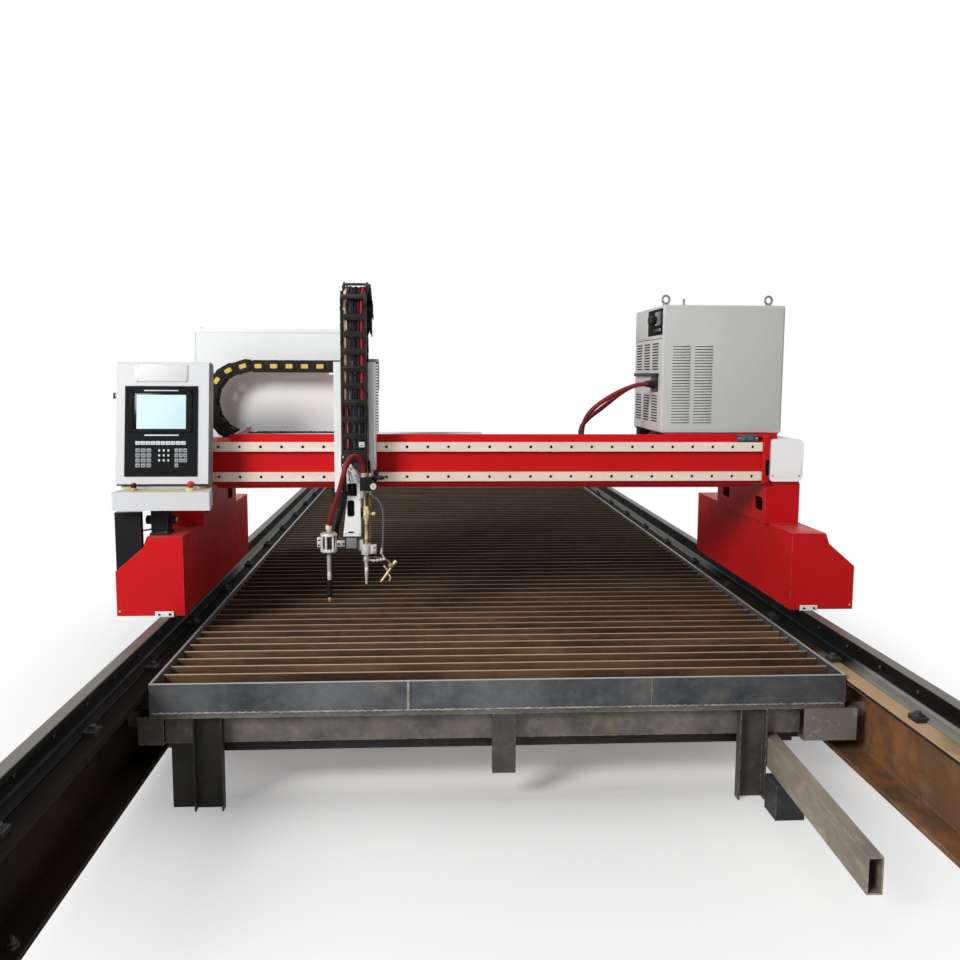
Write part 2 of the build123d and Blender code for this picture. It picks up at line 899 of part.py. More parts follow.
# Columns: hollow boxes with two windows in the inner side, and a cap plate under the beam
column_ends = (-column_inner, column_width - column_inner)
column_rear = beam_front + column_depth
for side, name in sides:
    with BuildPart() as column:
        across = [side * (half_gauge + u) for u in column_ends]
        block(across, (beam_front, column_rear), (carriage_top, column_top))
        inside = [side * (half_gauge + u) for u in
                  (column_ends[0] + column_wall, column_ends[1] - column_wall)]
        block(inside, (beam_front + column_wall, column_rear - column_wall),
              (carriage_top, column_top - column_wall), mode=Mode.SUBTRACT)
        window_plane = Plane(origin=(across[0], 0, 0), x_dir=(0, 1, 0), z_dir=(side, 0, 0))
        turn = 1 if side > 0 else -1
        with BuildSketch(window_plane):
            for place in (beam_front + window_ends + window_length / 2,
                          column_rear - window_ends - window_length):
                with Locations((place, turn * (carriage_top + window_lift + window_height / 2))):
                    RectangleRounded(window_length, window_height, window_r)
        extrude(amount=column_wall, mode=Mode.SUBTRACT)
        block((side * (half_gauge + column_ends[0] - cap_overhang), across[1]),
              (beam_front, beam_rear), (column_top, column_top + cap_plate))
    keep(column, f"column_{name}")

# Routes of the power source's two cables, from its outlets to the glands on the beam
power_front = beam_front + power_setback
power_bottom = beam_top + lip_height + power_foot_height
power_top = power_bottom + power_height
outlet_level = power_top - outlet_drop
outlet_places = [power_front + outlet_y + turn * outlet_spacing / 2 for turn in (-1, 1)]
cable_steps = [(0, 0), (45, 0), (103, 15), (158, 39), (210, 69), (260, 103), (301, 139),
               (327, 182), (340, 225), (340, 265)]
cable_drift = [0, 0, 3, 6, 9, 11, 12, 12, 12, 12]
cable_routes = []
for place in outlet_places:
    cable_routes.append([(power_left - outlet_length - along, place + drift, outlet_level - down)
                         for (along, down), drift in zip(cable_steps, cable_drift)])

# Beam: hollow box with a front lip, cable glands and two bars that carry the power source
beam_half = half_gauge + column_ends[1] - beam_end_inset
bar_places = (power_left + stand_bar_width, power_left + power_width - stand_bar_inset)
with BuildPart() as beam:
    block((-beam_half, beam_half), (beam_front, beam_rear), (beam_bottom, beam_top))
    block((-beam_half, beam_half), (beam_front + beam_wall, beam_rear - beam_wall),
          (beam_bottom + beam_wall, beam_top - beam_wall), mode=Mode.SUBTRACT)
    block((lip_left, lip_right), (beam_front, beam_front + lip_wall),
          (beam_top + weld_gap, beam_top + lip_height))
    for bar_x in bar_places:
        block((bar_x, bar_x + stand_bar_width),
              (beam_front + lip_wall + weld_gap, beam_front + lip_wall + stand_bar_length),
              (beam_top + weld_gap, beam_top + lip_height))
    for route in cable_routes:
        gland_x, gland_y, gland_top = route[-1]
        rod_z(gland_x, gland_y, (beam_top + weld_gap, gland_top), gland_r)
keep(beam, "beam")

# Two guide rails on the beam's front face, with their bolt holes
guide_levels = (beam_bottom + guide_edge_low + guide_width / 2,
                beam_top - guide_edge_high - guide_width / 2)
with BuildPart() as guides:
    hole_count = math.floor(guide_span / guide_bolt_pitch)
    for level in guide_levels:
        with BuildSketch(Plane.XZ.offset(-beam_front)):
            with Locations((0, level)):
                Rectangle(guide_span, guide_width)
                with GridLocations(guide_bolt_pitch, guide_bolt_pitch, hole_count, 1):
                    Circle(guide_bolt_r, mode=Mode.SUBTRACT)
        extrude(amount=guide_depth)
keep(guides, "guide_rails")

# Rack under the beam, teeth down
cross_pinion_x = cross_x + pinion_offset
cross_pinion_r = beam_rack_module * cross_pinion_teeth / 2
beam_rack_pitch = beam_bottom - beam_rack_back
beam_rack_front = beam_front + beam_rack_setback
with BuildPart() as beam_rack:
    outline = rack_points(beam_rack_module, -beam_rack_length / 2, beam_rack_length / 2,
                          cross_pinion_x, beam_rack_back)
    with BuildSketch(Plane.XZ.offset(-beam_rack_front - beam_rack_width / 2)):
        with BuildLine():
            Polyline(*[(u, beam_rack_pitch - w) for u, w in outline], close=True)
        make_face()
    extrude(amount=beam_rack_width / 2, both=True)
keep(beam_rack, "beam_rack")

# Rounded covers over the beam's ends, seated on its top
cover_inner = half_gauge - cover_inner_x
with BuildPart() as covers:
    for side, name in sides:
        cover_ends = (side * cover_inner, side * (cover_inner + cover_width))
        hollow_ends = (side * cover_inner, side * (cover_inner + cover_width - cover_wall))
        front = beam_front - cover_front_gap - cover_wall
        with BuildSketch(Plane.XZ.offset(-front)):
            middle = (cover_ends[0] + cover_ends[1]) / 2
            level = (beam_bottom + cover_lift + beam_top + cover_top_wall) / 2
            with Locations((middle, level)):
                RectangleRounded(cover_width, 2 * (beam_top + cover_top_wall - level), cover_r)
        extrude(amount=-(beam_rear - front))
        block(hollow_ends, (front + cover_wall, beam_rear), (beam_bottom, beam_top),
              mode=Mode.SUBTRACT)
keep(covers, "end_covers")

# Energy chain trough along the back of the beam, with its lead-in plate
chain_front = beam_rear + chain_side_gap + trough_wall
chain_rear = chain_front + chain_width
chain_low = beam_top - chain_sink
trough_floor = chain_low - chain_lay
trough_left = chain_bend_x - lead_in_width
with BuildPart() as trough:
    trough_rear = chain_rear + chain_side_gap + trough_wall
    block((trough_left - trough_lead, trough_left + trough_length), (beam_rear, trough_rear),
          (trough_floor - trough_wall, trough_floor))
    block((trough_left, trough_left + trough_length), (trough_rear - trough_wall, trough_rear),
          (trough_floor, trough_floor + trough_depth))
    block((trough_left, trough_left + trough_length), (beam_rear, beam_rear + trough_wall),
          (trough_floor, trough_floor + trough_depth))
    lead_slope = math.radians(lead_in_angle)
    lead_plane = Plane(origin=(trough_left, beam_rear + trough_wall, trough_floor + trough_depth),
                       x_dir=(math.cos(lead_slope), 0, math.sin(lead_slope)), z_dir=(0, -1, 0))
    with BuildSketch(lead_plane):
        Rectangle(lead_in_length, lead_in_width)
    extrude(amount=trough_wall)
keep(trough, "chain_trough")

# Chain along the beam: upper run to the carriage, bend and lower run
chain_mid_low = chain_low + chain_height / 2
chain_centre = chain_mid_low + chain_bend_r
chain_mid_high = chain_centre + chain_bend_r
housing_left = cross_x - cross_width / 2
chain_end_x = housing_left + flange_left_width
with BuildPart() as chain_upper:
    block((chain_bend_x, chain_end_x), (chain_front, chain_rear),
          (chain_mid_high - chain_height / 2, chain_mid_high + chain_height / 2))
keep(chain_upper, "x_chain_upper")
with BuildPart() as chain_bend:
    with BuildSketch(Plane.XZ.offset(-chain_front)):
        with Locations((chain_bend_x, chain_centre)):
            Circle(chain_bend_r + chain_height / 2)
            Circle(chain_bend_r - chain_height / 2, mode=Mode.SUBTRACT)
            with Locations((chain_bend_r, 0)):
                Rectangle(2 * chain_bend_r, 4 * chain_bend_r, mode=Mode.SUBTRACT)
        with Locations((chain_bend_x + chain_lower_length / 2, chain_mid_low)):
            Rectangle(chain_lower_length, chain_height)
    extrude(amount=-chain_width)
keep(chain_bend, "x_chain_bend")

# Electrical cabinet on two arms behind the beam, and its rear door
cabinet_front = chain_rear + chain_side_gap + trough_wall + cabinet_gap
cabinet_rear = cabinet_front + cabinet_depth
cabinet_right = cabinet_left + cabinet_width
with BuildPart() as cabinet:
    block((cabinet_left, cabinet_right), (cabinet_front, cabinet_rear), (cabinet_bottom, cabinet_top))
    block((cabinet_left + cabinet_wall, cabinet_right - cabinet_wall),
          (cabinet_front + cabinet_wall, cabinet_rear),
          (cabinet_bottom + cabinet_wall, cabinet_top - cabinet_wall), mode=Mode.SUBTRACT)
    for arm_x in (cabinet_left + arm_inset, cabinet_right - arm_inset):
        block((arm_x - arm_width / 2, arm_x + arm_width / 2), (beam_rear, cabinet_front),
              (cabinet_bottom, cabinet_bottom + arm_height))
    hinge_x = cabinet_left - hinge_r
    hinge_y = cabinet_rear + hinge_r
    for low, high in ((cabinet_bottom, cabinet_bottom + arm_height), (cabinet_top - arm_height, cabinet_top)):
        rod_z(hinge_x, hinge_y, (low, high), hinge_r)
        block((hinge_x - hinge_r, cabinet_left), (cabinet_rear - 2 * hinge_r, hinge_y), (low, high))
keep(cabinet, "cabinet_case")
with BuildPart() as door:
    door_front = cabinet_rear + slide_gap
    block((cabinet_left + holder_gap, cabinet_right), (door_front, door_front + cabinet_door),
          (cabinet_bottom, cabinet_top))
    knuckles = (cabinet_bottom + arm_height + slide_gap, cabinet_top - arm_height - slide_gap)
    rod_z(hinge_x, hinge_y, knuckles, hinge_r)
    block((hinge_x, cabinet_left + holder_gap), (door_front, hinge_y + hinge_r), knuckles)
    handle_x = cabinet_right - arm_width
    handle_mid = (cabinet_bottom + cabinet_top) / 2
    block((handle_x - hinge_r, handle_x + hinge_r),
          (door_front + cabinet_door, door_front + 2 * cabinet_door),
          (handle_mid - arm_height, handle_mid + arm_height))
keep(door, "cabinet_door")

# Power source: case with feet, lifting eyes and cable outlets
power_rear = power_front + power_depth
power_right = power_left + power_width
with BuildPart() as power:
    hollow((power_left, power_right), (power_front, power_rear), (power_bottom, power_top), cabinet_wall)
    for bar_x in bar_places:
        foot_x = bar_x + stand_bar_width / 2
        for foot_y in (power_front + 2 * power_foot_r, beam_front + stand_bar_length - power_foot_r):
            rod_z(foot_x, foot_y, (power_bottom - power_foot_height, power_bottom), power_foot_r)
    eye_y = power_front + eye_setback
    for eye_x in (power_left + eye_inset, power_right - eye_right_inset):
        rod_z(eye_x, eye_y, (power_top, power_top + 2 * eye_wire_r), eye_r / 2)
        with Locations((eye_x, eye_y, power_top + eye_r + eye_wire_r)):
            Torus(eye_r, eye_wire_r, rotation=(90, 0, 0))
    rod_z(power_left + lug_inset, eye_y, (power_top, power_top + lug_height), lug_r)
    for place in outlet_places:
        rod_x((power_left - outlet_length, power_left), place, outlet_level, outlet_r)
keep(power, "power_source")

# Cables from the power source down to the glands on the beam's top
hose("power_cables", [(route, cable_r) for route in cable_routes])

# Console post on the left carriage, with clamp knobs, and the cable duct on the slope
post_y = carriage_front + post_setback
with BuildPart() as post:
    half = console_post_size / 2
    block((post_x - post_foot_width / 2, post_x + post_foot_width / 2),
          (post_y - post_foot_length / 2, post_y + post_foot_length / 2),
          (carriage_top, carriage_top + foot_plate))
    block((post_x - half, post_x + half), (post_y - half, post_y + half),
          (carriage_top + foot_plate, shelf_level - slide_gap))
    for turn in (-1, 1):
        rod_x((post_x + turn * half, post_x + turn * (half + clamp_knob_length)), post_y,
              shelf_level - clamp_knob_drop, clamp_knob_r)
    slope_rise = (slope_drop - shoulder_drop) / (carriage_outer - shoulder_x - shoulder_step)
    duct_low = carriage_top - slope_drop
    duct_high = duct_low + slope_rise * (carriage_outer - duct_inner)
    duct_front = carriage_front + duct_setback
    with BuildSketch(Plane.XZ.offset(-duct_front)):
        with BuildLine():
            Polyline((-half_gauge - carriage_outer, duct_low), (-half_gauge - duct_inner, duct_high),
                     (-half_gauge - duct_inner, shelf_level - clamp_knob_r),
                     (-half_gauge - carriage_outer, shelf_level - clamp_knob_r), close=True)
        make_face()
    extrude(amount=-duct_depth)
keep(post, "console_post")

# Console shelf with the collars of its stop button and key switch
shelf_top = shelf_level + shelf_height
estop_at = (post_x + estop_x, post_y + estop_y)
key_at = (post_x + key_x, post_y + estop_y)
with BuildPart() as shelf:
    shelf_x = (post_x - shelf_left, post_x + shelf_right)
    shelf_y = (post_y - shelf_front, post_y + shelf_back)
    narrow_x = (shelf_x[0] + shelf_taper, shelf_x[1] - shelf_taper)
    with BuildSketch(Plane.XY.offset(shelf_level)):
        with BuildLine():
            Polyline((shelf_x[0], shelf_y[0]), (shelf_x[1], shelf_y[0]), (narrow_x[1], shelf_y[1]),
                     (narrow_x[0], shelf_y[1]), close=True)
        make_face()
    extrude(amount=shelf_height)
    fillet(shelf.edges().filter_by(Axis.Z), sheet)
    block((narrow_x[0] + sheet, narrow_x[1] - sheet), (shelf_y[0] + sheet, shelf_y[1] - sheet),
          (shelf_level + sheet, shelf_top - sheet), mode=Mode.SUBTRACT)
    rod_z(*estop_at, (shelf_top, shelf_top + collar_height), collar_r)
    rod_z(*estop_at, (shelf_top, shelf_top + collar_height), estop_stem_r + running_gap,
          mode=Mode.SUBTRACT)
    rod_z(*key_at, (shelf_top, shelf_top + sheet), key_r + sheet)
    rod_z(*key_at, (shelf_top, shelf_top + sheet), key_r + running_gap, mode=Mode.SUBTRACT)
keep(shelf, "console_shelf")

# Console case leaning back on its recessed foot, and the operator panel on its front
case_bottom = shelf_top + console_foot
case_front = post_y - console_forward
case_place = Location((post_x, case_front, case_bottom), (-console_lean, 0, 0))
with BuildPart() as case:
    with Locations(case_place):
        block((-console_left, console_right), (0, console_depth), (0, console_height))
    chamfer(case.edges().filter_by(Axis.X).sort_by(Axis.Z)[-2:], console_chamfer)
    with Locations(case_place):
        block((sheet - console_left, console_right - sheet), (sheet, console_depth - sheet),
              (sheet, console_height - 2 * console_chamfer), mode=Mode.SUBTRACT)
    block((post_x - console_left + console_foot_inset, post_x + console_right - console_foot_inset),
          (case_front + console_chamfer, case_front + console_depth - console_chamfer),
          (shelf_top, case_bottom))
keep(case, "console_case")
with BuildPart() as panel:
    with Locations(case_place):
        panel_top = console_height - panel_drop
        block((panel_x - panel_width / 2, panel_x + panel_width / 2), (-panel_wall, 0),
              (panel_top - panel_height, panel_top))
keep(panel, "console_panel")

# Stop button that presses into its collar, and the key switch barrel
with BuildPart() as estop:
    stem_bottom = shelf_top + estop_travel + hub_gap
    cap_bottom = shelf_top + collar_height + estop_travel + hub_gap
    rod_z(*estop_at, (stem_bottom, cap_bottom), estop_stem_r)
    rod_z(*estop_at, (cap_bottom, cap_bottom + estop_height - estop_travel), estop_r)
    fillet(estop.edges().group_by(Axis.Z)[-1], estop_travel)
keep(estop, "estop_button")
with BuildPart() as key:
    rod_z(*key_at, (shelf_top + slide_gap, shelf_top + key_height), key_r)
    block((key_at[0] - key_r / 6, key_at[0] + key_r / 6), (key_at[1] - key_r, key_at[1] + key_r),
          (shelf_top + key_height, shelf_top + 2 * key_height))
keep(key, "key_switch")

# Cross carriage: back plate, housing walls, guide blocks and the brackets behind it
back_rear = beam_front - guide_depth - cross_gap
back_front = back_rear - cross_plate_wall
housing_front = back_front - housing_depth
cross_left = cross_x - cross_width / 2
cross_right = cross_x + cross_width / 2
screw_x = cross_right - screw_inset
screw_y = back_front - screw_setback
pinion_level = beam_rack_pitch - cross_pinion_r
mount_front = beam_rack_front + beam_rack_width + hub_gap
bracket_ends = (cross_pinion_x - cross_motor_size / 2 - bracket_wall, cross_x)
bracket_bottom = cross_bottom - bracket_drop
chain_pad = chain_mid_high - chain_height / 2
holder_half = z_chain_width / 2 + holder_gap
z_chain_front = housing_front - z_chain_front_gap - z_chain_height
z_chain_rear = z_chain_front + 2 * z_chain_bend_r
z_chain_centre = z_chain_top - z_chain_bend_r - z_chain_height / 2
with BuildPart() as cross:
    block((cross_left, cross_right), (back_front, back_rear), (cross_bottom, cross_top))
    for edge, turn, bottom, width in ((cross_left, 1, cross_bottom, flange_left_width),
                                      (cross_right, -1, right_wall_bottom, flange_right_width)):
        block((edge, edge + turn * housing_wall), (housing_front, back_front), (bottom, cross_top))
        block((edge, edge + turn * width), (housing_front, housing_front + flange_wall),
              (bottom, cross_top))
    block((cross_x - z_rail_width / 2, cross_x + z_rail_width / 2),
          (back_front - z_rail_depth, back_front),
          (cross_bottom + z_rail_inset, cross_top - z_rail_inset))
    for level in guide_levels:
        for start in (cross_left + block_inset, cross_right - block_inset - block_length):
            block((start, start + block_length), (back_rear, beam_front - z_rail_inset),
                  (level - block_height / 2, level + block_height / 2))
        block((cross_left, cross_right), (beam_front - guide_depth - slide_gap, beam_front),
              (level - guide_width / 2 - slide_gap, level + guide_width / 2 + slide_gap),
              mode=Mode.SUBTRACT)
    for low in (cross_bottom + bearing_height, cross_top - bearing_height):
        block((screw_x - nut_width / 2, cross_right - housing_wall),
              (screw_y - nut_width / 2, back_front), (low, low + bearing_height))
    rod_z(screw_x, screw_y, (cross_bottom, cross_top), screw_r + running_gap, mode=Mode.SUBTRACT)
    block((cross_left, bracket_ends[1]), (back_front, back_rear), (bracket_bottom, cross_bottom))
    block(bracket_ends, (back_front, mount_front + bracket_wall),
          (bracket_bottom, bracket_bottom + bracket_wall))
    block(bracket_ends, (mount_front, mount_front + bracket_wall),
          (bracket_bottom + bracket_wall, beam_bottom - bracket_wall))
    rod_y(cross_pinion_x, (mount_front, mount_front + bracket_wall), pinion_level,
          cross_pinion_shaft_r + running_gap, mode=Mode.SUBTRACT)
    block((cross_left, chain_end_x), (back_rear, chain_rear),
          (chain_pad - arm_width, chain_pad))
    block((chain_end_x - chain_width, chain_end_x), (chain_front, chain_rear),
          (chain_pad - bracket_wall, chain_pad))
    for turn in (-1, 1):
        block((cross_x + turn * holder_half, cross_x + turn * (holder_half + holder_wall)),
              (back_rear, z_chain_rear + z_chain_height + holder_gap + holder_wall),
              (cross_top - holder_height, cross_top))
    block((cross_x - holder_half, cross_x + holder_half),
          (z_chain_rear + z_chain_height + holder_gap,
           z_chain_rear + z_chain_height + holder_gap + holder_wall),
          (cross_top - holder_height, cross_top))
keep(cross, "cross_carriage")

# Motors of the cross carriage: lift motor behind the plate with a belt cover on top, traverse motor
with BuildPart() as cross_motors:
    motor_x = (cross_right + z_motor_reach - z_motor_size, cross_right + z_motor_reach)
    motor_y = (back_rear + z_motor_gap, back_rear + z_motor_gap + z_motor_size)
    block(motor_x, motor_y, (cross_top - z_motor_height, cross_top))
    block((screw_x - nut_width / 2 + z_motor_gap, motor_x[1]), (screw_y - nut_width / 2, motor_y[1]),
          (cross_top, cross_top + belt_cover))
    motor_front = mount_front + bracket_wall
    half = cross_motor_size / 2
    block((cross_pinion_x - half, cross_pinion_x + half), (motor_front, motor_front + cross_motor_length),
          (pinion_level - half, pinion_level + half))
keep(cross_motors, "cross_motors")

# Traverse pinion under the beam rack
with BuildPart() as cross_pinion:
    with BuildSketch(Plane(origin=(cross_pinion_x, beam_rack_front, pinion_level),
                           x_dir=(1, 0, 0), z_dir=(0, -1, 0))):
        with BuildLine():
            Polyline(*gear_points(beam_rack_module, cross_pinion_teeth, math.pi / 2), close=True)
        make_face()
    extrude(amount=-beam_rack_width)
    rod_y(cross_pinion_x, (beam_rack_front + beam_rack_width, mount_front + bracket_wall - slide_gap),
          pinion_level, cross_pinion_shaft_r)
keep(cross_pinion, "cross_pinion")

# Lift screw between its two bearings
with BuildPart() as screw:
    rod_z(screw_x, screw_y, (cross_bottom + bearing_height, cross_top - slide_gap), screw_r)
keep(screw, "lift_screw")

# Chain of the lifter: front run on the lifter, bend and rear run
with BuildPart() as z_front:
    block((cross_x - z_chain_width / 2, cross_x + z_chain_width / 2),
          (z_chain_front, z_chain_front + z_chain_height),
          (chain_foot_level + chain_foot_height, z_chain_centre))
keep(z_front, "z_chain_front")
with BuildPart() as z_bend:
    with BuildSketch(Plane.YZ.offset(cross_x - z_chain_width / 2)):
        with Locations((z_chain_front + z_chain_height / 2 + z_chain_bend_r, z_chain_centre)):
            Circle(z_chain_bend_r + z_chain_height / 2)
            Circle(z_chain_bend_r - z_chain_height / 2, mode=Mode.SUBTRACT)
            with Locations((0, -z_chain_bend_r)):
                Rectangle(4 * z_chain_bend_r, 2 * z_chain_bend_r, mode=Mode.SUBTRACT)
        with Locations((z_chain_rear + z_chain_height / 2, z_chain_centre - z_chain_rear_length / 2)):
            Rectangle(z_chain_height, z_chain_rear_length)
    extrude(amount=z_chain_width)
keep(z_bend, "z_chain_bend")

# Lifter: slide plate with shoes, nut and chain foot, and the front case with its hood
slider_rear = back_front - shoe_depth - hub_gap - slide_gap
slider_front = slider_rear - slider_wall
lifter_front = slider_front - lifter_depth
case_left = lifter_x - lifter_width / 2
case_right = lifter_x + lifter_width / 2
conduit_x = case_left + hood_inset_left - conduit_crest_r - conduit_gap
conduit_y = slider_front - conduit_crest_r - conduit_gap
with BuildPart() as lifter:
    block((cross_x - slider_width / 2, cross_x + slider_width / 2), (slider_front, slider_rear),
          (slider_bottom, slider_top))
    for low in (shoe_low, shoe_high):
        block((cross_x - shoe_width / 2, cross_x + shoe_width / 2),
              (slider_rear, slider_rear + shoe_depth), (low, low + shoe_height))
    block((cross_x - z_rail_width / 2 - slide_gap, cross_x + z_rail_width / 2 + slide_gap),
          (back_front - z_rail_depth - slide_gap, back_front), (slider_bottom, slider_top),
          mode=Mode.SUBTRACT)
    block((cross_x + slider_width / 2, screw_x + nut_width / 2),
          (screw_y - nut_width / 2, screw_y + nut_width / 2), (nut_level, nut_level + nut_height))
    rod_z(screw_x, screw_y, (nut_level, nut_level + nut_height), screw_r + running_gap,
          mode=Mode.SUBTRACT)
    block((cross_x - z_chain_width / 2, cross_x + z_chain_width / 2), (z_chain_front, slider_front),
          (chain_foot_level, chain_foot_level + chain_foot_height))
    block((conduit_x - conduit_crest_r - slide_gap, cross_x), (conduit_y - conduit_crest_r, slider_front),
          (chain_foot_level, chain_foot_level + chain_foot_height))
    with BuildSketch(Plane.XZ.offset(-lifter_front)):
        with BuildLine():
            Polyline((case_left, lifter_bottom), (case_right, lifter_bottom),
                     (case_right, hood_top - hood_slope), (case_left + 2 * hood_inset_left, hood_top),
                     (case_left + hood_inset_left, hood_top - hood_inset_right),
                     (case_left + lifter_taper, lifter_shoulder), close=True)
        make_face()
    extrude(amount=-lifter_depth)
    with BuildSketch(Plane.XZ.offset(-lifter_front)):
        with Locations((slot_x, slot_level)):
            RectangleRounded(slot_width, slot_height, slot_width / 2 - sheet)
        with Locations((slot_x, small_slot_level)):
            Rectangle(slot_width - sheet, small_slot_height)
        with Locations((slot_x + sheet, (lifter_shoulder + hood_bottom) / 2)):
            Rectangle(slot_width + 2 * sheet, hood_bottom - lifter_shoulder - 2 * sheet)
    extrude(amount=-recess, mode=Mode.SUBTRACT)
keep(lifter, "lifter")

# Torch clamp under the lifter: bar, neck and the round cage of the plasma torch
torch_y = lifter_front + torch_setback
bar_y = (torch_y - clamp_bar_depth / 2, torch_y + clamp_bar_depth / 2)
bar_z = (clamp_level, clamp_level + clamp_bar_height)
conduit_end = (plasma_x + 31, torch_y + 49.3, bar_z[1])
with BuildPart() as torch_clamp:
    block((plasma_x, flame_x + 2 * flame_r), bar_y, bar_z)
    block((lifter_x - neck_width / 2, lifter_x + neck_width / 2), bar_y, (bar_z[1], lifter_bottom))
    block((conduit_end[0] - conduit_shelf_width / 2, conduit_end[0] + conduit_shelf_width / 2),
          (torch_y, bar_y[1] + conduit_shelf_depth), (bar_z[1] - conduit_shelf_wall, bar_z[1]))
    for level in (cage_bottom, cage_top - cage_ring):
        rod_z(plasma_x, torch_y, (level, level + cage_ring), cage_r)
    for number in range(cage_bars):
        angle = 2 * math.pi * number / cage_bars
        rod_z(plasma_x + (cage_r - 1.5 * cage_bar_r) * math.cos(angle),
              torch_y + (cage_r - 1.5 * cage_bar_r) * math.sin(angle), (cage_bottom, cage_top), cage_bar_r)
    rod_z(plasma_x, torch_y, (cage_bottom, cage_top), plasma_shaft_r + slide_gap, mode=Mode.SUBTRACT)
    rod_z(flame_x, torch_y, bar_z, flame_r + slide_gap, mode=Mode.SUBTRACT)
keep(torch_clamp, "torch_clamp")

# Plasma torch, held in the cage
with BuildPart() as plasma:
    rod_z(plasma_x, torch_y, (plasma_shaft_bottom, plasma_top - fitting_height), plasma_shaft_r)
    rod_z(plasma_x, torch_y, (plasma_top - fitting_height, plasma_top), fitting_r)
    rod_z(plasma_x, torch_y, (plasma_tip_bottom, plasma_shaft_bottom), plasma_tip_r)
    with Locations((plasma_x, torch_y, (plasma_bottom + plasma_tip_bottom) / 2)):
        Cone(plasma_nozzle_r / 2, plasma_nozzle_r, plasma_tip_bottom - plasma_bottom)
keep(plasma, "plasma_torch")

# Gas block at the right of the lifter, with its gauge and spout
block_y = (lifter_front - gas_block_setback, lifter_front - gas_block_setback + gas_block_depth)
with BuildPart() as gas_block:
    gas_ends = (case_right, flame_x + gas_block_right)
    block(gas_ends, block_y, (gas_block_bottom, gas_block_top))
    rod_y(gas_ends[1] - gauge_r / 2 + gauge_r, (block_y[0] - gauge_length / 2, block_y[0] + gauge_length / 2),
          gas_block_bottom + gauge_rise, gauge_r)
    rod_x((gas_ends[1], gas_ends[1] + spout_length), torch_y, gas_block_top - spout_r, spout_r)
keep(gas_block, "gas_block")

# Flame torch: tube, valve head, gas tubes, nozzle and the igniter on its bracket
head_top = flame_head_level + flame_head_height
with BuildPart() as flame:
    rod_z(flame_x, torch_y, (flame_nozzle_top, flame_head_level), flame_r)
    half = flame_head_width / 2
    block((flame_x - half, flame_x + half), (torch_y - half, torch_y + half),
          (flame_head_level, head_top))
    for turn in (-1, 1):
        rod_z(flame_x + turn * gas_tube_spacing / 2, torch_y - gas_tube_r, (head_top, gas_block_bottom),
              gas_tube_r)
    with Locations((flame_x, torch_y, (flame_bottom + flame_nozzle_top) / 2)):
        Cone(flame_nozzle_r, flame_r, flame_nozzle_top - flame_bottom)
    rod_x((flame_x, igniter_x), torch_y, igniter_level, igniter_bracket_r)
    igniter_foot = Vector(igniter_x - igniter_shift, torch_y, igniter_bottom)
    igniter_head = Vector(igniter_x, torch_y, igniter_top)
    with BuildSketch(Plane(igniter_foot, z_dir=igniter_head - igniter_foot)):
        Circle(igniter_rod_r)
    extrude(amount=(igniter_head - igniter_foot).length)
keep(flame, "flame_torch")

# Gas valves on the torch head: one at the right, one in front
with BuildPart() as valve_right:
    valve_start = flame_x + half + slide_gap
    level = flame_head_level + flame_head_height / 2
    rod_x((valve_start, valve_start + valve_stem_length), torch_y, level, valve_stem_r)
    rod_x((valve_start + valve_stem_length, valve_start + valve_stem_length + valve_length), torch_y,
          level, valve_r)
keep(valve_right, "gas_valve_right")
with BuildPart() as valve_front:
    valve_start = torch_y - half - slide_gap
    rod_y(flame_x, (valve_start, valve_start - valve_stem_length), level, valve_stem_r)
    rod_y(flame_x, (valve_start - valve_stem_length, valve_start - valve_stem_length - valve_length),
          level, valve_r)
keep(valve_front, "gas_valve_front")

# Red hose from the gas block over the top and down to the plasma torch
hose_arch = [(0, 0, 0), (0, 0, 36), (-14, -11, 67), (-38, -30, 85), (-67, -53, 85), (-91, -72, 67),
             (-105, -83, 36), (-113, -70, -15), (-124, -48, -65), (-137, -24, -115),
             (-153, 0, -165)]
hose_start = (flame_x - 8, lifter_front - 5, gas_block_top)
hose_end = (plasma_x, torch_y, plasma_top)
red_route = [tuple(a + b for a, b in zip(hose_start, step)) for step in hose_arch]
red_route += [(plasma_x, torch_y, plasma_top + 41), hose_end]
hose("plasma_hose", [(red_route, hose_r)])

# Black gas hoses up to the chain foot, the igniter's hose and the ribbed hose beside the lifter
gas_steps = [(0, 0, 0), (0, 0, 24), (-5, 14, 49), (-5, 14, 73)]
gas_routes = []
for shift in (0, 16):
    start = (flame_x + 4 + shift, torch_y - 10, gas_block_top)
    gas_routes.append(([tuple(a + b for a, b in zip(start, step)) for step in gas_steps], gas_hose_r))
slant = igniter_shift / (igniter_top - igniter_bottom)
igniter_start = (gas_ends[1] - 10, torch_y - 10, gas_block_bottom)
igniter_steps = [(0, 0, 0), (0, 0, -25), (11, 1, -48), (28, 4, -68), (41, 7, -95), (46, 9, -130),
                 (50, 10, -175), (54, 10, -220)]
igniter_route = [tuple(a + b for a, b in zip(igniter_start, step)) for step in igniter_steps]
igniter_route += [(igniter_x + 40 * slant, torch_y, igniter_top + 40), (igniter_x, torch_y, igniter_top)]
conduit_steps = [(0, 0, 0), (0, 0, -40), (1, 0, -150), (-18, 0, -245), (-38, 5, -320)]
conduit_start = (conduit_x, conduit_y, chain_foot_level)
conduit_route = [tuple(a + b for a, b in zip(conduit_start, step)) for step in conduit_steps]
conduit_route += [(*conduit_end[:2], bar_z[1] + conduit_plain), conduit_end]
hose("gas_hoses", gas_routes + [(igniter_route, igniter_hose_r)], conduit_route)
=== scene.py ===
import math

import bmesh
import bpy
from bpy.props import FloatProperty, FloatVectorProperty, IntProperty, PointerProperty
from mathutils import Matrix, Vector


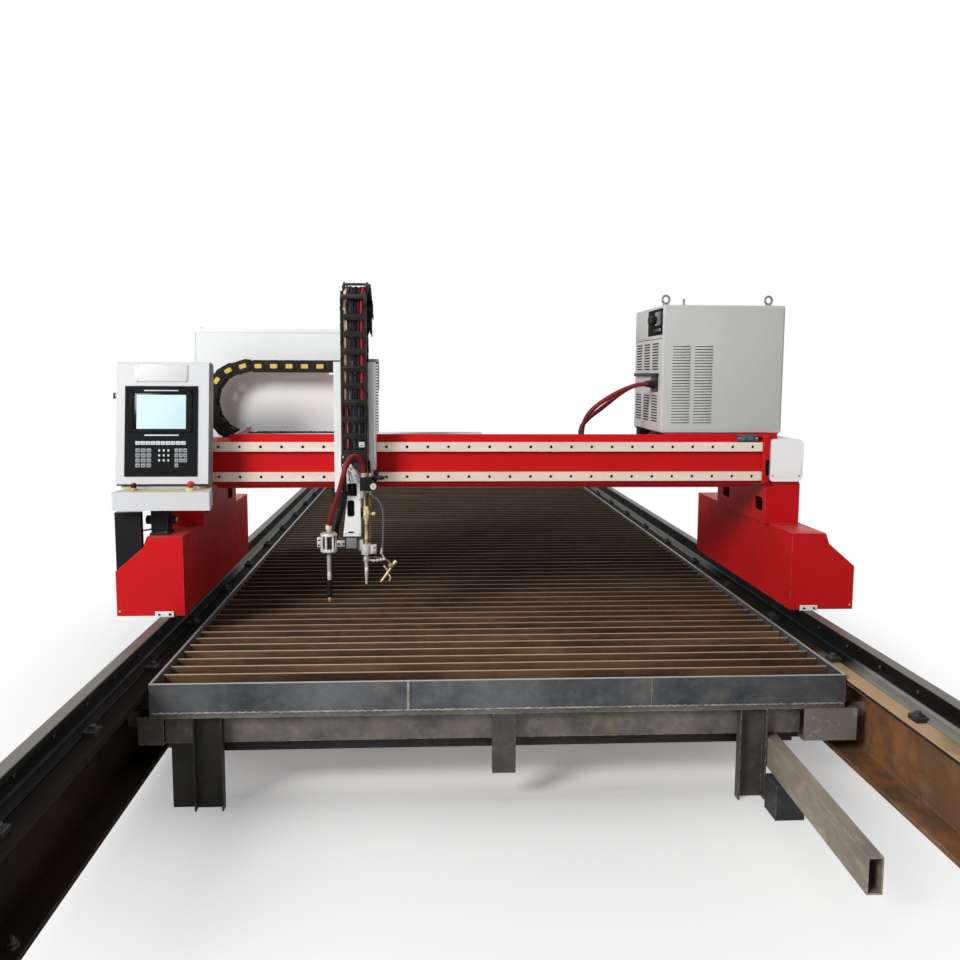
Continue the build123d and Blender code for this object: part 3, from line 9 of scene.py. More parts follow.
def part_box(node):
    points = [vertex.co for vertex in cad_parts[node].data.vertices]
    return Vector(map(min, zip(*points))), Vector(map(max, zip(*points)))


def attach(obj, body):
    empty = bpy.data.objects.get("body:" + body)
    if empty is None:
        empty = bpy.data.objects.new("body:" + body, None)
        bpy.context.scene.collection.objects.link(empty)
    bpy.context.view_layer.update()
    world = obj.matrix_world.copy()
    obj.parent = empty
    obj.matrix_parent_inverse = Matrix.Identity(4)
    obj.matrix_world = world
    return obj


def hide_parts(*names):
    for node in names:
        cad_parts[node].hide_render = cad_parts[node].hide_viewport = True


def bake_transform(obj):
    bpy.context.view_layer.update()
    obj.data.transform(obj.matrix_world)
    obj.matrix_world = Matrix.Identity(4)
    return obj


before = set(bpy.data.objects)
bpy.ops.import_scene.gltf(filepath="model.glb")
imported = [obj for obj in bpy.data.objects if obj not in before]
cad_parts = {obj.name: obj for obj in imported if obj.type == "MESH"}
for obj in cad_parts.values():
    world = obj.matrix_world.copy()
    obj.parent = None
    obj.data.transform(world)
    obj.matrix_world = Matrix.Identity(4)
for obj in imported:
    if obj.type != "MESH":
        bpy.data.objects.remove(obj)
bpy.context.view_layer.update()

bl_info = {
    "name": "Gantry cutting machine",
    "version": (1, 0, 0),
    "blender": (4, 5, 0),
    "location": "View3D > Sidebar > Machine",
    "description": "Dresses the gantry cutting machine with its pieces and finishes",
    "category": "Object",
}


# Sizes and colours that a user may change

def tone(red, green, blue):
    """Colour of the scene from screen values of 0 to 255."""
    def linear(value):
        value /= 255
        return value / 12.92 if value <= 0.04045 else ((value + 0.055) / 1.055) ** 2.4
    return (linear(red), linear(green), linear(blue), 1.0)


def length_prop(label, text, default):
    """Length in metres."""
    return FloatProperty(name=label, description=text, default=default, unit="LENGTH", min=0.0)


def colour_prop(label, text, default):
    """Colour of a finish."""
    return FloatVectorProperty(name=label, description=text, default=default, size=4, subtype="COLOR",
                               min=0.0, max=1.0)


class MachineSizes(bpy.types.PropertyGroup):
    """Sizes of the pieces that the scene adds."""
    link_pitch: length_prop("Link pitch", "Length of one energy chain link", 0.078)
    slat_pitch: length_prop("Slat pitch", "Distance from slat to slat", 0.105)
    slat_count: IntProperty(name="Slats", description="Number of slats on the table", default=60, min=1)
    slat_lean: FloatProperty(name="Slat lean", description="Largest lean of a slat on its bearers",
                             default=math.radians(1.6), subtype="ANGLE")
    louvre_pitch: length_prop("Louvre pitch", "Distance between louvres of the power source", 0.0138)
    louvre_rows: IntProperty(name="Louvre rows", description="Rows of louvres in each column", default=28,
                             min=1)
    key_pitch: length_prop("Key pitch", "Distance from key to key on the console", 0.0195)
    rail_screw_pitch: length_prop("Rail screw pitch", "Distance between guide rail screws", 0.1)
    web_bolt_pitch: length_prop("Web bolt pitch", "Distance between rack bolts on the rail web", 0.29)
    rib_pitch: length_prop("Rib pitch", "Distance between ribs of the ribbed hose", 0.006)


class MachineColours(bpy.types.PropertyGroup):
    """Colours of the finishes."""
    red: colour_prop("Red paint", "Gantry paint", tone(202, 26, 30))
    white: colour_prop("White paint", "Covers and cross carriage", tone(238, 238, 237))
    grey: colour_prop("Grey paint", "Power source case", tone(197, 198, 195))
    console: colour_prop("Console grey", "Console case", tone(206, 207, 209))
    black: colour_prop("Black plastic", "Chain links and knobs", tone(34, 32, 31))
    yellow: colour_prop("Window yellow", "Windows of the energy chain", tone(224, 196, 84))
    plate: colour_prop("Mill plate", "Table plates and tubes", tone(106, 107, 109))
    slat: colour_prop("Slat rust", "Table slats", tone(108, 79, 56))
    hose: colour_prop("Hose red", "Torch hose and power cables", tone(128, 34, 36))
    brass: colour_prop("Brass", "Flame torch", tone(224, 200, 152))
    screen: colour_prop("Screen", "Lit screen of the console", tone(196, 222, 227))


def sizes():
    """Sizes set in the panel."""
    return bpy.context.scene.machine_sizes


def colours():
    """Colours set in the panel."""
    return bpy.context.scene.machine_colours


# Node helpers

EVEN = (1.0, 1.0, 1.0)


def node(tree, kind, ins=None, **settings):
    """New node with its settings; an input takes a value or another node's output."""
    made = tree.nodes.new(kind)
    for key, value in settings.items():
        setattr(made, key, value)
    for key, value in (ins or {}).items():
        if isinstance(value, bpy.types.NodeSocket):
            tree.links.new(value, made.inputs[key])
        else:
            made.inputs[key].default_value = value
    return made


def mixed(tree, mask, first, second):
    """Colour between two colours by a mask."""
    return node(tree, "ShaderNodeMix", {0: mask, 6: first, 7: second}, data_type="RGBA").outputs[2]


def ranged(tree, value, low, high, to_low=0.0, to_high=1.0):
    """Value carried from one range to another and kept inside it."""
    return node(tree, "ShaderNodeMapRange", {0: value, 1: low, 2: high, 3: to_low, 4: to_high}).outputs[0]


def product(tree, first, *others):
    """All factors multiplied."""
    for factor in others:
        first = node(tree, "ShaderNodeMath", {0: first, 1: factor}, operation="MULTIPLY").outputs[0]
    return first


def stretched(tree, vector, by):
    """Vector multiplied by another, axis by axis."""
    return node(tree, "ShaderNodeVectorMath", {0: vector, 1: by}, operation="MULTIPLY").outputs[0]


def spot_on_piece(tree):
    """Place on the machine, in metres."""
    return node(tree, "ShaderNodeTexCoord").outputs["Object"]


def noise(tree, scale, detail, rough=0.5, stretch=None):
    """Cloudy noise over the piece, stretched along its axes where asked."""
    spot = spot_on_piece(tree)
    if stretch:
        spot = stretched(tree, spot, stretch)
    ins = {"Vector": spot, "Scale": scale, "Detail": detail, "Roughness": rough}
    return node(tree, "ShaderNodeTexNoise", ins).outputs["Fac"]


def make_group(name, inputs, output, build):
    """Shader node group with named inputs and one output."""
    tree = bpy.data.node_groups.new(name, "ShaderNodeTree")
    for label, kind, default in inputs:
        socket = tree.interface.new_socket(label, in_out="INPUT", socket_type=kind)
        socket.default_value = default
    tree.interface.new_socket(output[0], in_out="OUTPUT", socket_type=output[1])
    entry = tree.nodes.new("NodeGroupInput")
    tree.links.new(build(tree, entry.outputs), tree.nodes.new("NodeGroupOutput").inputs[0])


def build_blotches(tree, given):
    """Soft patches of a chosen size."""
    return ranged(tree, noise(tree, given["Scale"], 5.0, 0.62, given["Stretch"]), given["Low"], given["High"])


def build_edges(tree, given):
    """Wear along outer edges, broken up by a fine noise."""
    soft = node(tree, "ShaderNodeBevel", {"Radius": given["Reach"]}, samples=6).outputs[0]
    flat = node(tree, "ShaderNodeNewGeometry").outputs["Normal"]
    likeness = node(tree, "ShaderNodeVectorMath", {0: soft, 1: flat}, operation="DOT_PRODUCT")
    edge = ranged(tree, likeness.outputs["Value"], 0.995, 0.86)
    return product(tree, edge, ranged(tree, noise(tree, given["Speckle"], 4.0), 0.42, 0.62))


def build_dust(tree, given):
    """Dust that settles on faces that look up."""
    facing = node(tree, "ShaderNodeTexCoord").outputs["Normal"]
    up = node(tree, "ShaderNodeSeparateXYZ", {0: facing}).outputs["Z"]
    film = noise(tree, given["Scale"], 6.0, 0.7)
    return product(tree, ranged(tree, up, 0.55, 0.95), ranged(tree, film, 0.35, 0.7))


def build_grain(tree, given):
    """Fine surface height, stretched along a grain."""
    return noise(tree, given["Scale"], 3.0, 0.55, given["Stretch"])


def build_round(tree, given):
    """Normal that rounds sharp plate edges."""
    return node(tree, "ShaderNodeBevel", {"Radius": given["Radius"]}, samples=6).outputs[0]


def make_groups():
    """Shader groups that the finishes share."""
    number, vector = "NodeSocketFloat", "NodeSocketVector"
    make_group("blotches", [("Scale", number, 4.0), ("Low", number, 0.4), ("High", number, 0.65),
                            ("Stretch", vector, EVEN)], ("Mask", number), build_blotches)
    make_group("worn_edges", [("Reach", number, 0.006), ("Speckle", number, 30.0)], ("Mask", number),
               build_edges)
    make_group("settled_dust", [("Scale", number, 5.0)], ("Mask", number), build_dust)
    make_group("fine_grain", [("Scale", number, 300.0), ("Stretch", vector, EVEN)], ("Height", number),
               build_grain)
    make_group("rounded_edges", [("Radius", number, 0.002)], ("Normal", vector), build_round)


def use_group(tree, name, **values):
    """Output of a shared group with its own values."""
    ins = {key.capitalize(): value for key, value in values.items()}
    return node(tree, "ShaderNodeGroup", ins, node_tree=bpy.data.node_groups[name]).outputs[0]


def patches(tree, scale, low, high, stretch=EVEN, least=0.0, most=1.0):
    """Mask of soft patches that goes from least to most."""
    mask = use_group(tree, "blotches", scale=scale, low=low, high=high, stretch=stretch)
    return mask if (least, most) == (0.0, 1.0) else ranged(tree, mask, 0.0, 1.0, least, most)


def band(tree, axis, low, high):
    """Mask that rises from low to high along one axis of the machine."""
    along = node(tree, "ShaderNodeSeparateXYZ", {0: spot_on_piece(tree)}).outputs[axis]
    return ranged(tree, along, low, high)


# Finishes

DUST = tone(196, 190, 182)
BARE_EDGE = tone(150, 140, 134)

# Colour, roughness, dust, wear of the edges and what differs, for painted and moulded surfaces
COATS = {
    "red_paint": ("red", 0.4, 0.2, 0.4, {"shade": 0.9, "sheen": 0.08}),
    "white_paint": ("white", 0.42, 0.25, 0.3, {}),
    "carriage_white": ("white", 0.42, 0.25, 0.3, {}),
    "lifter_white": ("white", 0.42, 0.25, 0.3, {}),
    # Cool white of the cabinet: painted light that cancels the pink light bounced from the red beam
    "cabinet_white": ((237, 240, 240), 0.45, 0.3, 0.15, {"shade": 0.95}),
    # Brighter copy of the white paint for the end covers: painted light that makes up for less lamp light at
    # the right end
    "cover_white": ((250, 250, 250), 0.4, 0.06, 0.15, {"shade": 0.97}),
    # Cyan white of the lead-in flange: painted light that cancels the pink light bounced from the red beam
    "flange_white": ((196, 236, 236), 0.35, 0.0, 0.1, {"shade": 0.97, "metal": 0.5}),
    "grey_paint": ("grey", 0.45, 0.2, 0.25, {"shade": 0.93}),
    "console_grey": ("console", 0.4, 0.15, 0.2, {"shade": 0.95}),
    "shelf_grey": ("console", 0.4, 0.2, 0.2, {"shade": 0.95}),
    "clamp_grey": ((200, 198, 192), 0.42, 0.2, 0.4, {"metal": 0.2}),
    "block_grey": ((126, 128, 132), 0.42, 0.2, 0.4, {"metal": 0.2}),
    "sensor_grey": ((62, 72, 74), 0.45, 0.25, 0.3, {}),
    "black_paint": ((30, 30, 31), 0.42, 0.2, 0.4, {"shade": 0.8, "sheen": 0.08}),
    "motor_black": ((32, 32, 33), 0.45, 0.25, 0.3, {"sheen": 0.1}),
    "black_plastic": ("black", 0.5, 0.15, 0.25, {"shade": 0.75, "grain": 700.0, "sheen": 0.1}),
    "black_rubber": ((24, 24, 24), 0.7, 0.15, 0.0, {"sheen": 0.08}),
    "panel_black": ((15, 17, 20), 0.5, 0.1, 0.15, {"shade": 0.9, "grain": 900.0, "sheen": 0.06}),
    "glass_black": ((12, 13, 14), 0.12, 0.08, 0.0, {"edge": 0, "sheen": 0.15}),
    # Flat black, mostly painted shade in slots, openings, gaps and behind the louvres
    "dark_recess": ((16, 16, 17), 0.7, 0.1, 0.0, {"edge": 0, "sheen": 0.04}),
    "lit_screen": ("screen", 0.55, 0.0, 0.0, {"shade": 0.96, "edge": 0, "sheen": 0.1}),
    "key_light": ((150, 154, 158), 0.5, 0.1, 0.1, {}),
    "key_grey": ((62, 66, 70), 0.5, 0.1, 0.1, {"sheen": 0.1}),
    "key_mark": ((206, 210, 212), 0.5, 0.05, 0.0, {"edge": 0}),
    "key_brass": ((190, 150, 78), 0.3, 0.05, 0.3, {"metal": 0.5}),
    "window_yellow": ("yellow", 0.4, 0.2, 0.1, {}),
    "red_plastic": ((196, 22, 24), 0.3, 0.1, 0.1, {"coat": 0.3}),
    "teal_plastic": ((58, 112, 112), 0.4, 0.2, 0.1, {}),
    "ferrule_pink": ((222, 200, 196), 0.4, 0.1, 0.1, {}),
    "hose_red": ("hose", 0.5, 0.15, 0.0, {"grain": 240.0, "depth": 0.002, "edge": 0, "sheen": 0.2}),
    "hose_black": ((24, 24, 25), 0.55, 0.1, 0.0, {"edge": 0, "sheen": 0.08}),
    "hose_grey": ((92, 94, 98), 0.5, 0.15, 0.0, {"edge": 0}),
    "cable_cream": ((232, 214, 178), 0.5, 0.1, 0.0, {"edge": 0}),
    "cable_blue": ((32, 38, 58), 0.5, 0.1, 0.0, {"edge": 0, "sheen": 0.1}),
    "cable_wine": ((70, 26, 31), 0.5, 0.1, 0.0, {"edge": 0, "sheen": 0.1}),
    "cable_red": ((156, 42, 46), 0.5, 0.1, 0.0, {"edge": 0, "sheen": 0.1}),
    "cable_grey": ((56, 56, 60), 0.5, 0.1, 0.0, {"edge": 0, "sheen": 0.1}),
}

# Dark, middle and light colour, roughness, metal, scale of patches, wear and what differs, for bare metal
BARE_METALS = {
    "mill_steel": ((58, 61, 66), "plate", (140, 139, 137), 0.46, 0.45, 2.4, 0.8, {
        "fleck": 0.22, "stretch": (1.3, 1, 1.6), "rust": ((112, 104, 92), 0.6, 0.84),
        "wear_colour": (168, 164, 156)}),
    "frame_steel": ((70, 68, 64), (120, 114, 106), (166, 160, 148), 0.46, 0.45, 2.6, 0.8, {
        "fleck": 0.25, "stretch": (1.3, 1, 1.4), "rust": ((128, 112, 92), 0.56, 0.8),
        "wear_colour": (172, 166, 154)}),
    "leg_steel": ((56, 53, 50), (92, 87, 80), (128, 122, 113), 0.5, 0.45, 3.0, 0.7, {
        "fleck": 0.3, "wear_colour": (150, 146, 138)}),
    "dark_steel": ((34, 34, 36), (60, 60, 62), (92, 92, 92), 0.5, 0.5, 3.0, 0.6, {
        "wear_colour": (132, 130, 126)}),
    "rusty_beam": ((70, 51, 37), (128, 96, 69), (166, 134, 102), 0.66, 0.15, 1.4, 0.6, {
        "stretch": (1, 0.5, 1), "sheen": 0.08, "rust": ((158, 104, 65), 0.5, 0.72),
        "wear_colour": (178, 152, 122)}),
    "slat_steel": ((66, 48, 35), "slat", (134, 104, 78), 0.6, 0.3, 4.0, 0.0, {
        "stretch": (0.35, 1, 1), "rust": ((110, 68, 40), 0.52, 0.74), "edge": 0}),
    "running_rail": ((13, 13, 13), (22, 22, 23), (56, 56, 56), 0.45, 0.4, 3.0, 0.4, {
        "stretch": (1, 0.2, 1), "sheen": 0.08}),
    "worn_bar": ((112, 103, 93), (164, 152, 137), (202, 189, 170), 0.5, 0.4, 3.5, 0.7, {
        "fleck": 0.45, "stretch": (1, 0.3, 1), "rust": ((126, 96, 70), 0.6, 0.8),
        "wear_colour": (200, 192, 178)}),
    "gear_steel": ((40, 40, 42), (78, 78, 80), (128, 128, 128), 0.35, 0.8, 8.0, 0.8, {}),
    "beam_gear": ((40, 40, 42), (78, 78, 80), (128, 128, 128), 0.4, 0.3, 8.0, 0.0, {"sheen": 0.1}),
    "bright_steel": ((208, 190, 176), (238, 219, 205), (250, 236, 224), 0.32, 0.4, 3.0, 0.2, {
        "stretch": (0.15, 1, 1), "grain": 120.0}),
    "zinc_steel": ((150, 146, 138), (186, 182, 172), (214, 210, 200), 0.4, 0.6, 9.0, 0.4, {}),
    "weld_bead": ((88, 87, 85), (150, 148, 143), (226, 223, 216), 0.36, 0.5, 9.0, 0.4, {}),
    "forged_steel": ((96, 96, 96), (140, 140, 139), (188, 188, 186), 0.4, 0.5, 14.0, 0.4, {}),
    "aluminium": ((176, 176, 174), (204, 204, 202), (228, 228, 226), 0.32, 0.75, 9.0, 0.3, {}),
    "torch_silver": ((190, 189, 186), (224, 223, 220), (244, 243, 240), 0.3, 0.35, 9.0, 0.2, {}),
    "brass": (("brass", 0.62), "brass", (250, 238, 206), 0.3, 0.65, 14.0, 0.4, {}),
    "old_brass": ((86, 66, 42), (138, 112, 74), (196, 172, 124), 0.36, 0.6, 18.0, 0.4, {}),
    "copper": ((140, 84, 56), (184, 112, 76), (214, 150, 112), 0.35, 0.9, 18.0, 0.4, {}),
}

# Finish, colour and strength of each stain, painted shade and painted light, then its masks: bands between
# two places in metres, and patches
STAINS_AND_PAINTED_LIGHT = (
    # Shaded right side of the console and yellowed top of its shelf
    ("console_grey", (112, 118, 115), 0.8, ("X", -1.3046, -1.3042)),
    ("shelf_grey", (200, 190, 152), 1, ("Z", 1.187, 1.1879), (9.0, 0.25, 0.6, EVEN, 0.55, 0.9)),
    # Dark lower end and right foot of the cross carriage, speckled hood of the lifter, pale lift motor
    ("carriage_white", (30, 29, 28), 1, ("Z", 1.159, 1.157)),
    ("carriage_white", (44, 42, 41), 1, ("Z", 1.264, 1.262), ("X", -0.583, -0.582)),
    ("lifter_white", (168, 168, 166), 1, ("Z", 1.208, 1.212), ("Y", -1.83, -1.84),
     (120.0, 0.42, 0.58, EVEN, 0.35, 0.9)),
    ("motor_black", (206, 206, 205), 1, ("Z", 1.6, 1.61)),
    # Grime on the lower end of the power cables
    ("hose_red", (52, 22, 24), 0.75, ("Z", 1.39, 1.4), ("Z", 1.6, 1.45)),
    # Bright upper edge of the skirt, flecked right stub, painted shade over the rear of the frame under the
    # table, dark left legs
    ("mill_steel", (186, 184, 178), 0.8, ("Z", 0.5165, 0.519)),
    ("frame_steel", (200, 195, 184), 1, ("X", 1.2165, 1.2175), ("Y", -2.612, -2.616), ("Z", 0.381, 0.3795),
     (26.0, 0.56, 0.66, EVEN, 0.24, 0.6)),
    ("frame_steel", (20, 19, 18), 0.85, ("Y", -2.592, -2.586)),
    ("leg_steel", (38, 38, 37), 0.85, ("X", -0.5, -0.8)),
    # Dark upper flanges of the rail beams, painted shade over the left beam, painted sunlight as a tan front
    # end of the right one
    ("rusty_beam", (18, 17, 16), 0.92, ("Z", 0.478, 0.49)),
    ("rusty_beam", (15, 11, 8), 0.94, ("X", 0.5, -0.5)),
    ("rusty_beam", (204, 174, 136), 0.85, ("X", 0.5, 0.6), ("Y", -2.3, -2.6), (4.0, 0.2, 0.5, (1, 0.4, 1)),
     ("Z", 0.494, 0.498), ("Z", 0.504, 0.501)),
    # Slats: painted shade darkening the foot, pale and dark streaks, painted highlight along the top, painted
    # shade towards the rear, streaks on the top
    ("slat_steel", (30, 21, 15), 0.6, ("Z", 0.5, 0.466)),
    ("slat_steel", (150, 116, 86), 0.35, (16.0, 0.5, 0.66, (0.09, 1, 0.05))),
    ("slat_steel", (26, 18, 13), 0.5, (13.0, 0.48, 0.36, (0.07, 1, 0.05))),
    ("slat_steel", (204, 178, 146), 0.85, ("Z", 0.505, 0.5095)),
    ("slat_steel", (22, 17, 13), 0.75, ("Y", -2.2, -0.6)),
    ("slat_steel", (168, 148, 124), 0.6, (11.0, 0.58, 0.68, (0.06, 1, 0.02)), ("Z", 0.505, 0.5095)),
    # Worn heads of the running rails, painted light as pale feet at the rear and at the right front
    ("running_rail", (128, 124, 118), 0.8, ("Z", 0.6045, 0.6065)),
    ("running_rail", (142, 142, 139), 0.6, ("Z", 0.528, 0.523), ("Y", -0.75, -0.35)),
    ("running_rail", (160, 157, 150), 0.8, ("X", 0.5, 0.6), ("Y", -2.5, -2.7), (3.0, 0.2, 0.5, (1, 0.4, 1)),
     ("Z", 0.532, 0.527)),
    # Red front face of the traverse rack
    ("beam_gear", (160, 30, 34), 1, ("Y", -1.698, -1.699)),
)


def darker(colour, share):
    """Colour with less light."""
    return tuple(channel * share for channel in colour[:3]) + (1.0,)


def scene_colour(colour):
    """Colour of the panel by its name, the same darkened by a share, or screen values."""
    if isinstance(colour, str):
        return tuple(getattr(colours(), colour))
    if isinstance(colour[0], str):
        return darker(scene_colour(colour[0]), colour[1])
    return tone(*colour)


def finish(name):
    """Material of a finish."""
    return bpy.data.materials[name + "_finish"]


def start_finish(name):
    """New material; its name ends in _finish, because the frame's own materials have the plain names."""
    made = bpy.data.materials.new(name + "_finish")
    made.use_nodes = True
    return made.node_tree, made.node_tree.nodes["Principled BSDF"]


def set_values(shader, **values):
    """Plain values on the shader's sockets; the words of a name are joined by _."""
    for key, value in values.items():
        shader.inputs[key.replace("_", " ")].default_value = value


def surface(tree, shader, colour, rough, grain, depth, edge, stretch=EVEN):
    """Connects colour, roughness and a fine grain over rounded edges."""
    tree.links.new(colour, shader.inputs["Base Color"])
    tree.links.new(rough, shader.inputs["Roughness"])
    height = use_group(tree, "fine_grain", scale=grain, stretch=stretch)
    ins = {"Strength": 0.35, "Distance": depth, "Height": height}
    if edge:
        ins["Normal"] = use_group(tree, "rounded_edges", radius=edge)
    tree.links.new(node(tree, "ShaderNodeBump", ins).outputs[0], shader.inputs["Normal"])


def coat_finish(name, colour, rough, dust, wear, shade=0.86, metal=0.0, grain=420.0, depth=0.0006,
                edge=0.0015, coat=0.0, sheen=0.3):
    """Painted or moulded surface with patches, dust on top and worn edges."""
    tree, shader = start_finish(name)
    colour = scene_colour(colour)
    base = mixed(tree, patches(tree, 2.6, 0.32, 0.7), darker(colour, shade), colour)
    specks = product(tree, patches(tree, 38.0, 0.6, 0.74), 0.18)
    base = mixed(tree, specks, base, darker(colour, 0.6))
    film = product(tree, use_group(tree, "settled_dust", scale=6.0), dust)
    base = mixed(tree, film, base, DUST)
    worn = product(tree, use_group(tree, "worn_edges", reach=0.005, speckle=40.0), wear)
    base = mixed(tree, worn, base, BARE_EDGE)
    gloss = ranged(tree, patches(tree, 7.0, 0.3, 0.7), 0.0, 1.0, rough - 0.07, rough + 0.1)
    surface(tree, shader, base, gloss, grain, depth, edge)
    set_values(shader, Metallic=metal, Coat_Weight=coat, Coat_Roughness=0.12, Specular_IOR_Level=sheen)


def bare_finish(name, dark, middle, light, rough, metal, scale, wear, stretch=EVEN, rust=None,
                wear_colour=None, grain=160.0, edge=0.002, sheen=0.3, fleck=0.6):
    """Bare metal with patches of scale, light flecks and bright edges; rust has colour, low and high."""
    tree, shader = start_finish(name)
    broad = patches(tree, scale, 0.3, 0.72, stretch)
    base = mixed(tree, broad, scene_colour(dark), scene_colour(middle))
    fine = patches(tree, scale * 7, 0.5, 0.8, stretch)
    base = mixed(tree, product(tree, fine, fleck), base, scene_colour(light))
    if rust:
        colour, low, high = rust
        base = mixed(tree, patches(tree, scale * 2.2, low, high), base, scene_colour(colour))
    worn = product(tree, use_group(tree, "worn_edges", reach=0.006, speckle=55.0), wear)
    base = mixed(tree, worn, base, scene_colour(wear_colour or light))
    gloss = ranged(tree, fine, 0.0, 1.0, rough + 0.08, rough - 0.08)
    surface(tree, shader, base, gloss, grain, 0.001, edge, stretch)
    set_values(shader, Metallic=metal, Specular_IOR_Level=sheen)


def paint_stain_and_light(name, colour, share, *masks):
    """Paints another colour over a finish where all its masks are 1; it lays stains and also painted light
    and shade.
    """
    tree = finish(name).node_tree
    target = tree.nodes["Principled BSDF"].inputs["Base Color"]
    parts = [band(tree, *mask) if isinstance(mask[0], str) else patches(tree, *mask) for mask in masks]
    if share < 1:
        parts.append(share)
    before = target.links[0].from_socket
    tree.links.new(mixed(tree, product(tree, *parts), before, scene_colour(colour)), target)


def make_finishes():
    """All finishes from their tables, with the stains and the painted light and shade over them."""
    make_groups()
    for name, (*values, others) in COATS.items():
        coat_finish(name, *values, **others)
    for name, (*values, others) in BARE_METALS.items():
        bare_finish(name, *values, **others)
    for row in STAINS_AND_PAINTED_LIGHT:
        paint_stain_and_light(*row)
    screen = finish("lit_screen").node_tree.nodes["Principled BSDF"]
    set_values(screen, Emission_Color=scene_colour("screen"), Emission_Strength=0.1)


# Mesh helpers

MILLI = Matrix.Scale(0.001, 4)
SMOOTH_ANGLE = math.radians(38)
SHARP_ANGLE = 0.6
EDGE_PROFILE = 0.6
RING_SIDES = 28
WIRE_SIDES = 10
AXES = {"x": lambda a, b, h: (h, a, b), "y": lambda a, b, h: (a, h, b), "z": lambda a, b, h: (a, b, h)}


def metres(point):
    """Point in millimetres, turned into metres."""
    return tuple(value / 1000 for value in point)


def grid(*lines):
    """All pairs of two rows of places; a plain number is a row of one."""
    first, second = ([line] if isinstance(line, (int, float)) else line for line in lines)
    return [(a, b) for a in first for b in second]


def turned(axis, degrees, centre):
    """Turn about an axis through a point."""
    middle = Matrix.Translation(Vector(centre))
    return middle @ Matrix.Rotation(math.radians(degrees), 4, axis.upper()) @ middle.inverted()


def polar(centre, radius, angle):
    """Point at a distance and an angle from a centre."""
    return (centre[0] + radius * math.cos(angle), centre[1] + radius * math.sin(angle))


def circle(count, radius=1.0, centre=(0, 0)):
    """Evenly spaced points round a centre."""
    return [polar(centre, radius, 2 * math.pi * i / count) for i in range(count)]


def arc(centre, radius, start, end, count):
    """Points of an arc in a plane, by angles in degrees."""
    return [polar(centre, radius, math.radians(start + (end - start) * i / count)) for i in range(count + 1)]


def rounded(width, height, radius, centre=(0, 0), steps=4):
    """Outline of a rectangle with round corners."""
    spots = []
    for quarter, (right, up) in enumerate(((1, 1), (-1, 1), (-1, -1), (1, -1))):
        corner = (centre[0] + right * (width / 2 - radius), centre[1] + up * (height / 2 - radius))
        spots += arc(corner, radius, 90 * quarter, 90 * quarter + 90, steps)
    return spots


def knurled(crest, root, lobes, centre):
    """Outline of a grip with lobes."""
    return [polar(centre, radius, math.pi * i / lobes) for i, radius in enumerate((crest, root) * lobes)]


def skin(rings, sides, closed=False):
    """Faces round a row of rings; a closed row joins its last ring to the first."""
    faces = []
    for ring in range(rings if closed else rings - 1):
        low, high = ring * sides, (ring + 1) % rings * sides
        for i in range(sides):
            beside = (i + 1) % sides
            faces.append((low + i, low + beside, high + beside, high + i))
    return faces


def ends(rings, sides):
    """Flat faces on the first and the last ring."""
    return [tuple(range(sides)), tuple(range((rings - 1) * sides, rings * sides))]


